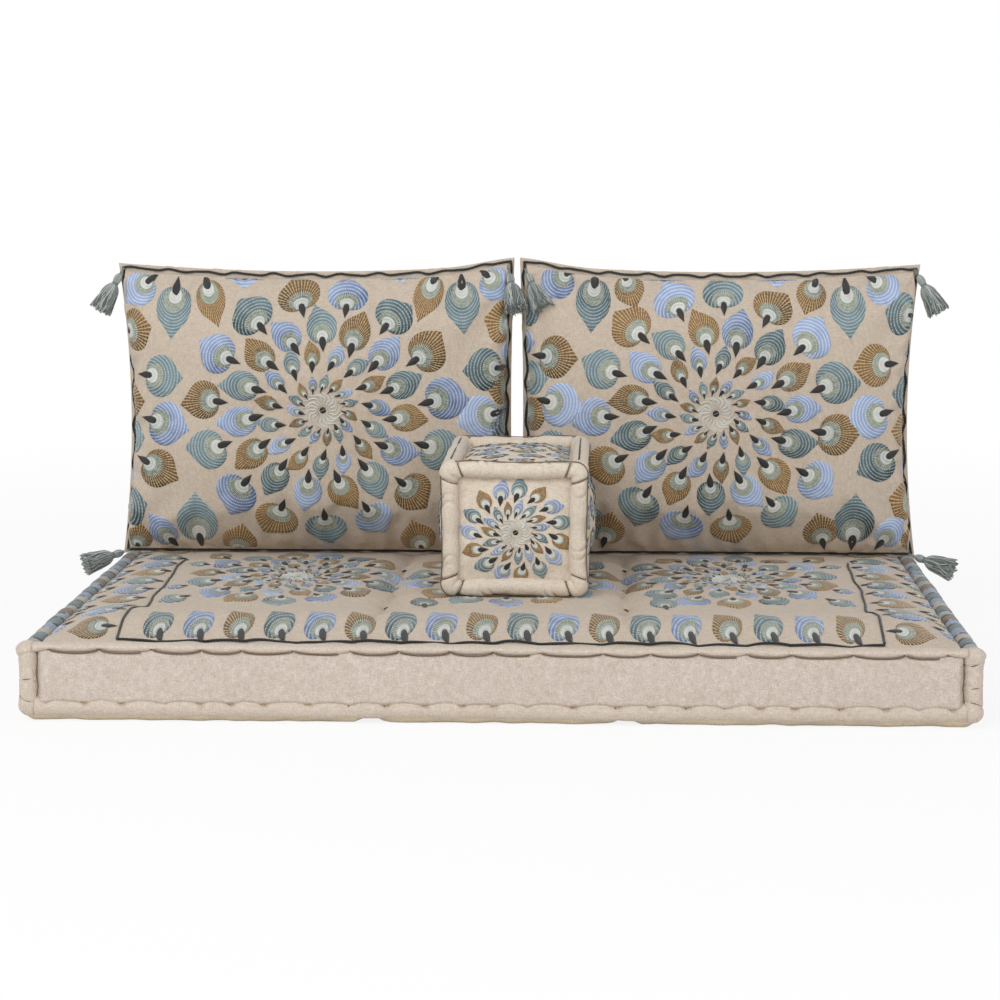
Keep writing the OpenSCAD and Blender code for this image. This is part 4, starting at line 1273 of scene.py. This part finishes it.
def bolster_cover():
    """Six padded panels of the bolster on one closed body."""
    half = (BOLSTER_INNER_W / 2, BOLSTER_INNER_L / 2, BOLSTER_INNER_H / 2)
    middle = np.array([BOLSTER_X, BOLSTER_Y, BOLSTER_Z])
    a, b = np.meshgrid(spread(40), spread(40))
    full = (1 - abs(a) ** 2.6) * (1 - abs(b) ** 2.6)
    edge = 1 - np.maximum(abs(a), abs(b))
    build = Build()
    for n, (out_axis, sign, crown) in enumerate(
            ((2, 1, 0.024), (2, -1, 0.021), (0, 1, 0.033), (0, -1, 0.033), (1, 1, 0.022), (1, -1, 0.022))):
        a_axis, b_axis = (out_axis + 1) % 3, (out_axis + 2) % 3
        p, q = a * (half[a_axis] + 0.004), b * (half[b_axis] + 0.004)
        lift = 0.009 + (crown - 0.009) * full
        lift += 0.0008 * waves(140 + n, 9, 0.03, 0.09, p, q) * np.minimum(1, edge * 6)
        along = np.where(abs(a) > abs(b), q, p)
        lift += 0.0009 * np.sin(2 * math.pi * along / 0.026) * bell(edge - 0.12, 0.1)
        points = np.zeros((*a.shape, 3))
        points[..., a_axis], points[..., b_axis] = p, q
        points[..., out_axis] = sign * (half[out_axis] + lift)
        under = points.copy()
        under[..., out_axis] = sign * (half[out_axis] - 0.01)
        build.shell(points + middle, under + middle, flip=sign < 0)
    solids = [f"bolster_{part}" for part in ("filling", "end_front", "end_rear", "panel_top", "panel_bottom",
                                             "panel_left", "panel_right")]
    return build.object("bolster_cover", [LINEN_BOLSTER], "bolster", "embroidered_linen", solids, padded=True)


def ring_outline(x, z, bend):
    """The middle line of an end's rolled ring, a rounded rectangle: distances along it, and its points."""
    outline = []
    for quarter, (cx, cz) in enumerate(((1, 1), (-1, 1), (-1, -1), (1, -1))):
        for t in np.linspace(0, math.pi / 2, 7) + quarter * math.pi / 2:
            outline.append((cx * (x - bend) + bend * math.cos(t), cz * (z - bend) + bend * math.sin(t)))
    outline = np.array(outline + outline[:1])
    far = lengths_along(outline)
    s = np.linspace(0, far[-1], 521)[:-1]
    return s, np.stack([np.interp(s, far, outline[:, k]) for k in (0, 1)], 1)


def bolster_rolls():
    """The puffed rolled edges of the bolster. Each end's ring is tied in beside its four corners."""
    r = BOLSTER_ROLL_R
    x, z = BOLSTER_W / 2 - r, BOLSTER_H / 2 - r
    s, flat = ring_outline(x, z, 0.006)
    corner = np.hypot(abs(flat[:, 0]) - x, abs(flat[:, 1]) - z)
    for end, name in ((-1, "front"), (1, "rear")):
        y = BOLSTER_Y + end * (BOLSTER_L / 2 - r)
        path = np.stack([BOLSTER_X + flat[:, 0], 0 * s + y, BOLSTER_Z + flat[:, 1]], 1)
        outward = np.cross(unit(np.roll(path, -1, 0) - np.roll(path, 1, 0)), (0, 1, 0))
        depth = np.array([0, end, 0.0])
        barrel = 0.0022 * ease(corner / 0.08) * (0.4 + 0.6 * (abs(outward[:, 0]) > 0.7))
        wander = 0.0010 * waves(158 + end, 6, 0.05, 0.14, s) * ease(corner / 0.03)
        path = path + outward * (barrel + wander)[:, None]
        swelling = 0.97 + 0.07 * waves(150 + end, 7, 0.03, 0.08, s) + 0.14 * bell(corner, 0.009)
        turns = circle(33)
        points = np.zeros((len(path), len(turns), 3))
        for q, turn in enumerate(turns):
            inner = max(0.0, -math.cos(turn))
            creases = bell(np.sin(s * 74 + 2.5 * end + 0.8 * math.sin(turn)) - 0.9, 0.06)
            creases *= ease((corner - 0.022) / 0.01)
            tied = bell(corner - TIE_AT - 0.0035 * math.cos(turn), 0.0021)
            radius = r * (swelling - 0.28 * tied - 0.20 * creases * (0.4 + inner))
            radius *= 1 - 0.07 * inner * (0.5 + 0.5 * np.sin(s * 130))
            points[:, q] = path + radius[:, None] * (math.cos(turn) * outward + math.sin(turn) * depth)
        build = Build()
        build.grid(points, wrap=True, flip=end > 0)
        seam_turn = math.radians(158)
        seam = path + r * 1.03 * (math.cos(seam_turn) * outward + math.sin(seam_turn) * depth)
        build.tube(seam, 0.0008, 5, 1, closed=True)
        near = corner < TIE_AT
        for i in np.flatnonzero(near != np.roll(near, 1)):
            ahead_of = 1 if near[i - 1] else -1
            tie = []
            for t in np.linspace(-0.4, 2.8, 18):
                k = int(np.argmin(abs(s - s[i] - ahead_of * 0.0035 * math.cos(t))))
                tie.append(path[k] + (r * 0.80 + 0.0003) * (math.cos(t) * outward[k] + math.sin(t) * depth))
            build.tube(tie, THREAD_R, 5, 1)
        build.cover(f"bolster_end_roll_{name}", [LINEN_BOLSTER, BROWN_STITCH_AND_SEAM_SHADE], "bolster", attribute="stitch")
    reach = BOLSTER_INNER_L / 2
    for side, x_name in SIDES:
        for upper, z_name in ((-1, "bottom"), (1, "top")):
            build = Build()
            middle = np.array([BOLSTER_X + side * x, BOLSTER_Y, BOLSTER_Z + upper * z])
            ends = [middle + (0, e * reach, 0) for e in (-1, 1)]
            stitched_roll(build, *ends, r, -upper, (side, 0, 0), 0.024, seed=160 + side + 3 * upper)
            for k, far in enumerate(np.arange(-reach + 0.01, reach - 0.01, 0.0125)):
                for turn in (math.radians(8 + 3 * (k % 3)), math.radians(98 - 4 * (k % 2))):
                    around = (r + 0.0002) * np.array([side * math.cos(turn), 0, upper * math.sin(turn)])
                    build.tube([middle + around + (0, far + e * 0.0028, 0) for e in (-1, 0, 1)], 0.0011, 5, 1)
            build.cover(f"bolster_roll_{z_name}_{x_name}", [LINEN_BOLSTER, CORD], "bolster",
                        attribute="stitch")


BOLSTER_RINGS = ((0.0350, 0.028125, 0.46, -0.35), (0.0675, 0.034375, 0.68, -0.38))
# Long sides of the bolster: where the rays start and point to, half the panel's width and a shift of colours
BOLSTER_SIDES = (
    ("top", lambda a, b: (BOLSTER_X + a, b, 0.6), DOWN, 0.072, 0),
    ("left", lambda a, b: (-0.5, b, BOLSTER_Z + a), Vector((1, 0, 0)), 0.062, 1),
    ("right", lambda a, b: (0.5, b, BOLSTER_Z + a), Vector((-1, 0, 0)), 0.062, 2))


def bolster_embroidery(surface):
    """A small rosette on the front end, and rows of feathers that turn to and fro on the long sides."""
    art = Embroidery()
    art.base, art.stretch, art.mood, art.cream = -0.004, 0.93, 0.8, 1.4
    art.rosette(0.002, art.base, 0.8, BOLSTER_RINGS, shift=1, turn=math.radians(88), stagger=0)

    def inside(a, b):
        return np.clip(a, -0.0745, 0.0745), np.clip(b, -0.068, 0.068)

    def before(a, b):
        return BOLSTER_X + a, -0.5, BOLSTER_Z + b

    art.lay(surface, inside, before, Vector((0, 1, 0)))
    art.finish("bolster_end_embroidery", "bolster")
    for name, start_of, direction, half, shift in BOLSTER_SIDES:
        art = Embroidery()
        for i in range(6):
            for j in range(10):
                a = (i - 2.5) * half * 0.35 + (0.008 if j % 2 else -0.004)
                b = BOLSTER_Y + (j - 4.5) * 0.0285
                heading = (0 if (i + j) % 2 else math.pi) + 0.5 * math.sin(3 * i + 5 * j)
                art.leaf(a, b, heading, 0.021, 0.95, EMBROIDERY_COLOURS[(i + 2 * j + shift) % 3])

        def within(a, b, half=half):
            return np.clip(a, -half, half), np.clip(b, BOLSTER_Y - 0.136, BOLSTER_Y + 0.136)

        art.lay(surface, within, start_of, direction)
        art.finish(f"bolster_embroidery_{name}", "bolster")


# Assembly

cover = seat_cover()
seat_underside()
seat_rolls()
seat_boxing()
for corner_side, corner_end, corner_name in (
        (-1, -1, "front_left"), (1, -1, "front_right"), (-1, 1, "rear_left"), (1, 1, "rear_right")):
    seat_corner(corner_side, corner_end, corner_name)
seat_surface = surface_of(cover)
seat_cords(seat_surface)
seat_ties(seat_surface)
seat_embroidery(seat_surface)
for cushion_side, cushion_name in SIDES:
    cushion = cushion_cover(cushion_side, cushion_name)
    cushion_cord(cushion_side, cushion_name)
    cushion_embroidery(cushion_side, cushion_name, surface_of(cushion))
tassels()
bolster_surface = surface_of(bolster_cover())
bolster_rolls()
bolster_embroidery(bolster_surface)


# Stage, light and camera

FLOOR_REACH, FADE_START, FADE_END = 30.0, 0.7, 3.0
AMBIENT, LAMP_SIZE, LAMP_TARGET = 0.53, 2.4, Vector((0, 0, 0.2))
CAMERA_AT, CAMERA_DOWN, CAMERA_TURN, LENS = (0.132, -3.644, 0.720), 7.66, 2.27, 96.1


def floor():
    """A near white floor that looks pure white to the camera further out."""
    mesh = bpy.data.meshes.new("floor")
    corners = [(x * FLOOR_REACH, y * FLOOR_REACH, 0) for x, y in ((-1, -1), (1, -1), (1, 1), (-1, 1))]
    mesh.from_pydata(corners, [], [(0, 1, 2, 3)])
    shader = Shader("floor", 0.9, specular=0.1)
    shader.fill(shader.bsdf, Base_Color=(0.94, 0.94, 0.94, 1))
    place = shader.node("TexCoord").outputs["Object"]
    distance = shader.node("VectorMath", place, operation="LENGTH").outputs["Value"]
    fade = shader.node("MapRange", distance, FADE_START, FADE_END, 0.86, 1.0).outputs[0]
    share = shader.times(fade, shader.node("LightPath").outputs["Is Camera Ray"])
    mixed = shader.node("MixShader", share, shader.bsdf.outputs[0], shader.node("Emission").outputs[0])
    shader.put(shader.tree.nodes["Material Output"].inputs[0], mixed.outputs[0])
    mesh.materials.append(shader.material)
    linked("floor", mesh)


def world():
    """Even light from all sides, which is pure white where the camera sees it or its reflection."""
    made = bpy.data.worlds.new("studio")
    bpy.context.scene.world = made
    made.use_nodes = True
    sky = Nodes(made.node_tree)
    rays = sky.node("LightPath").outputs
    seen = sky.math("MAXIMUM", rays["Is Camera Ray"], rays["Is Glossy Ray"])
    seen = sky.math("MAXIMUM", seen, rays["Is Transmission Ray"])
    strength = sky.node("MapRange", seen, None, None, AMBIENT, 1.0).outputs[0]
    sky.fill(sky.tree.nodes["Background"], Color=(1, 1, 1, 1), Strength=strength)


def lamp(name, location, power):
    """A square lamp that points at the sofa."""
    light = bpy.data.lights.new(name, "AREA")
    light.shape = "SQUARE"
    light.size = LAMP_SIZE
    light.energy = power
    made = linked(name, light)
    made.location = location
    made.rotation_euler = (LAMP_TARGET - Vector(location)).to_track_quat("-Z", "Y").to_euler()


def camera():
    data = bpy.data.cameras.new("camera")
    data.lens = LENS
    data.sensor_width = 36.0
    made = linked("camera", data)
    made.location = CAMERA_AT
    made.rotation_euler = (math.radians(90 - CAMERA_DOWN), 0, math.radians(CAMERA_TURN))
    bpy.context.scene.camera = made


floor()
world()
lamp("key", (-1.6, -2.6, 2.6), 62)
lamp("fill", (2.4, -2.8, 1.6), 26)
camera()
bpy.context.scene.view_settings.view_transform = "Standard"
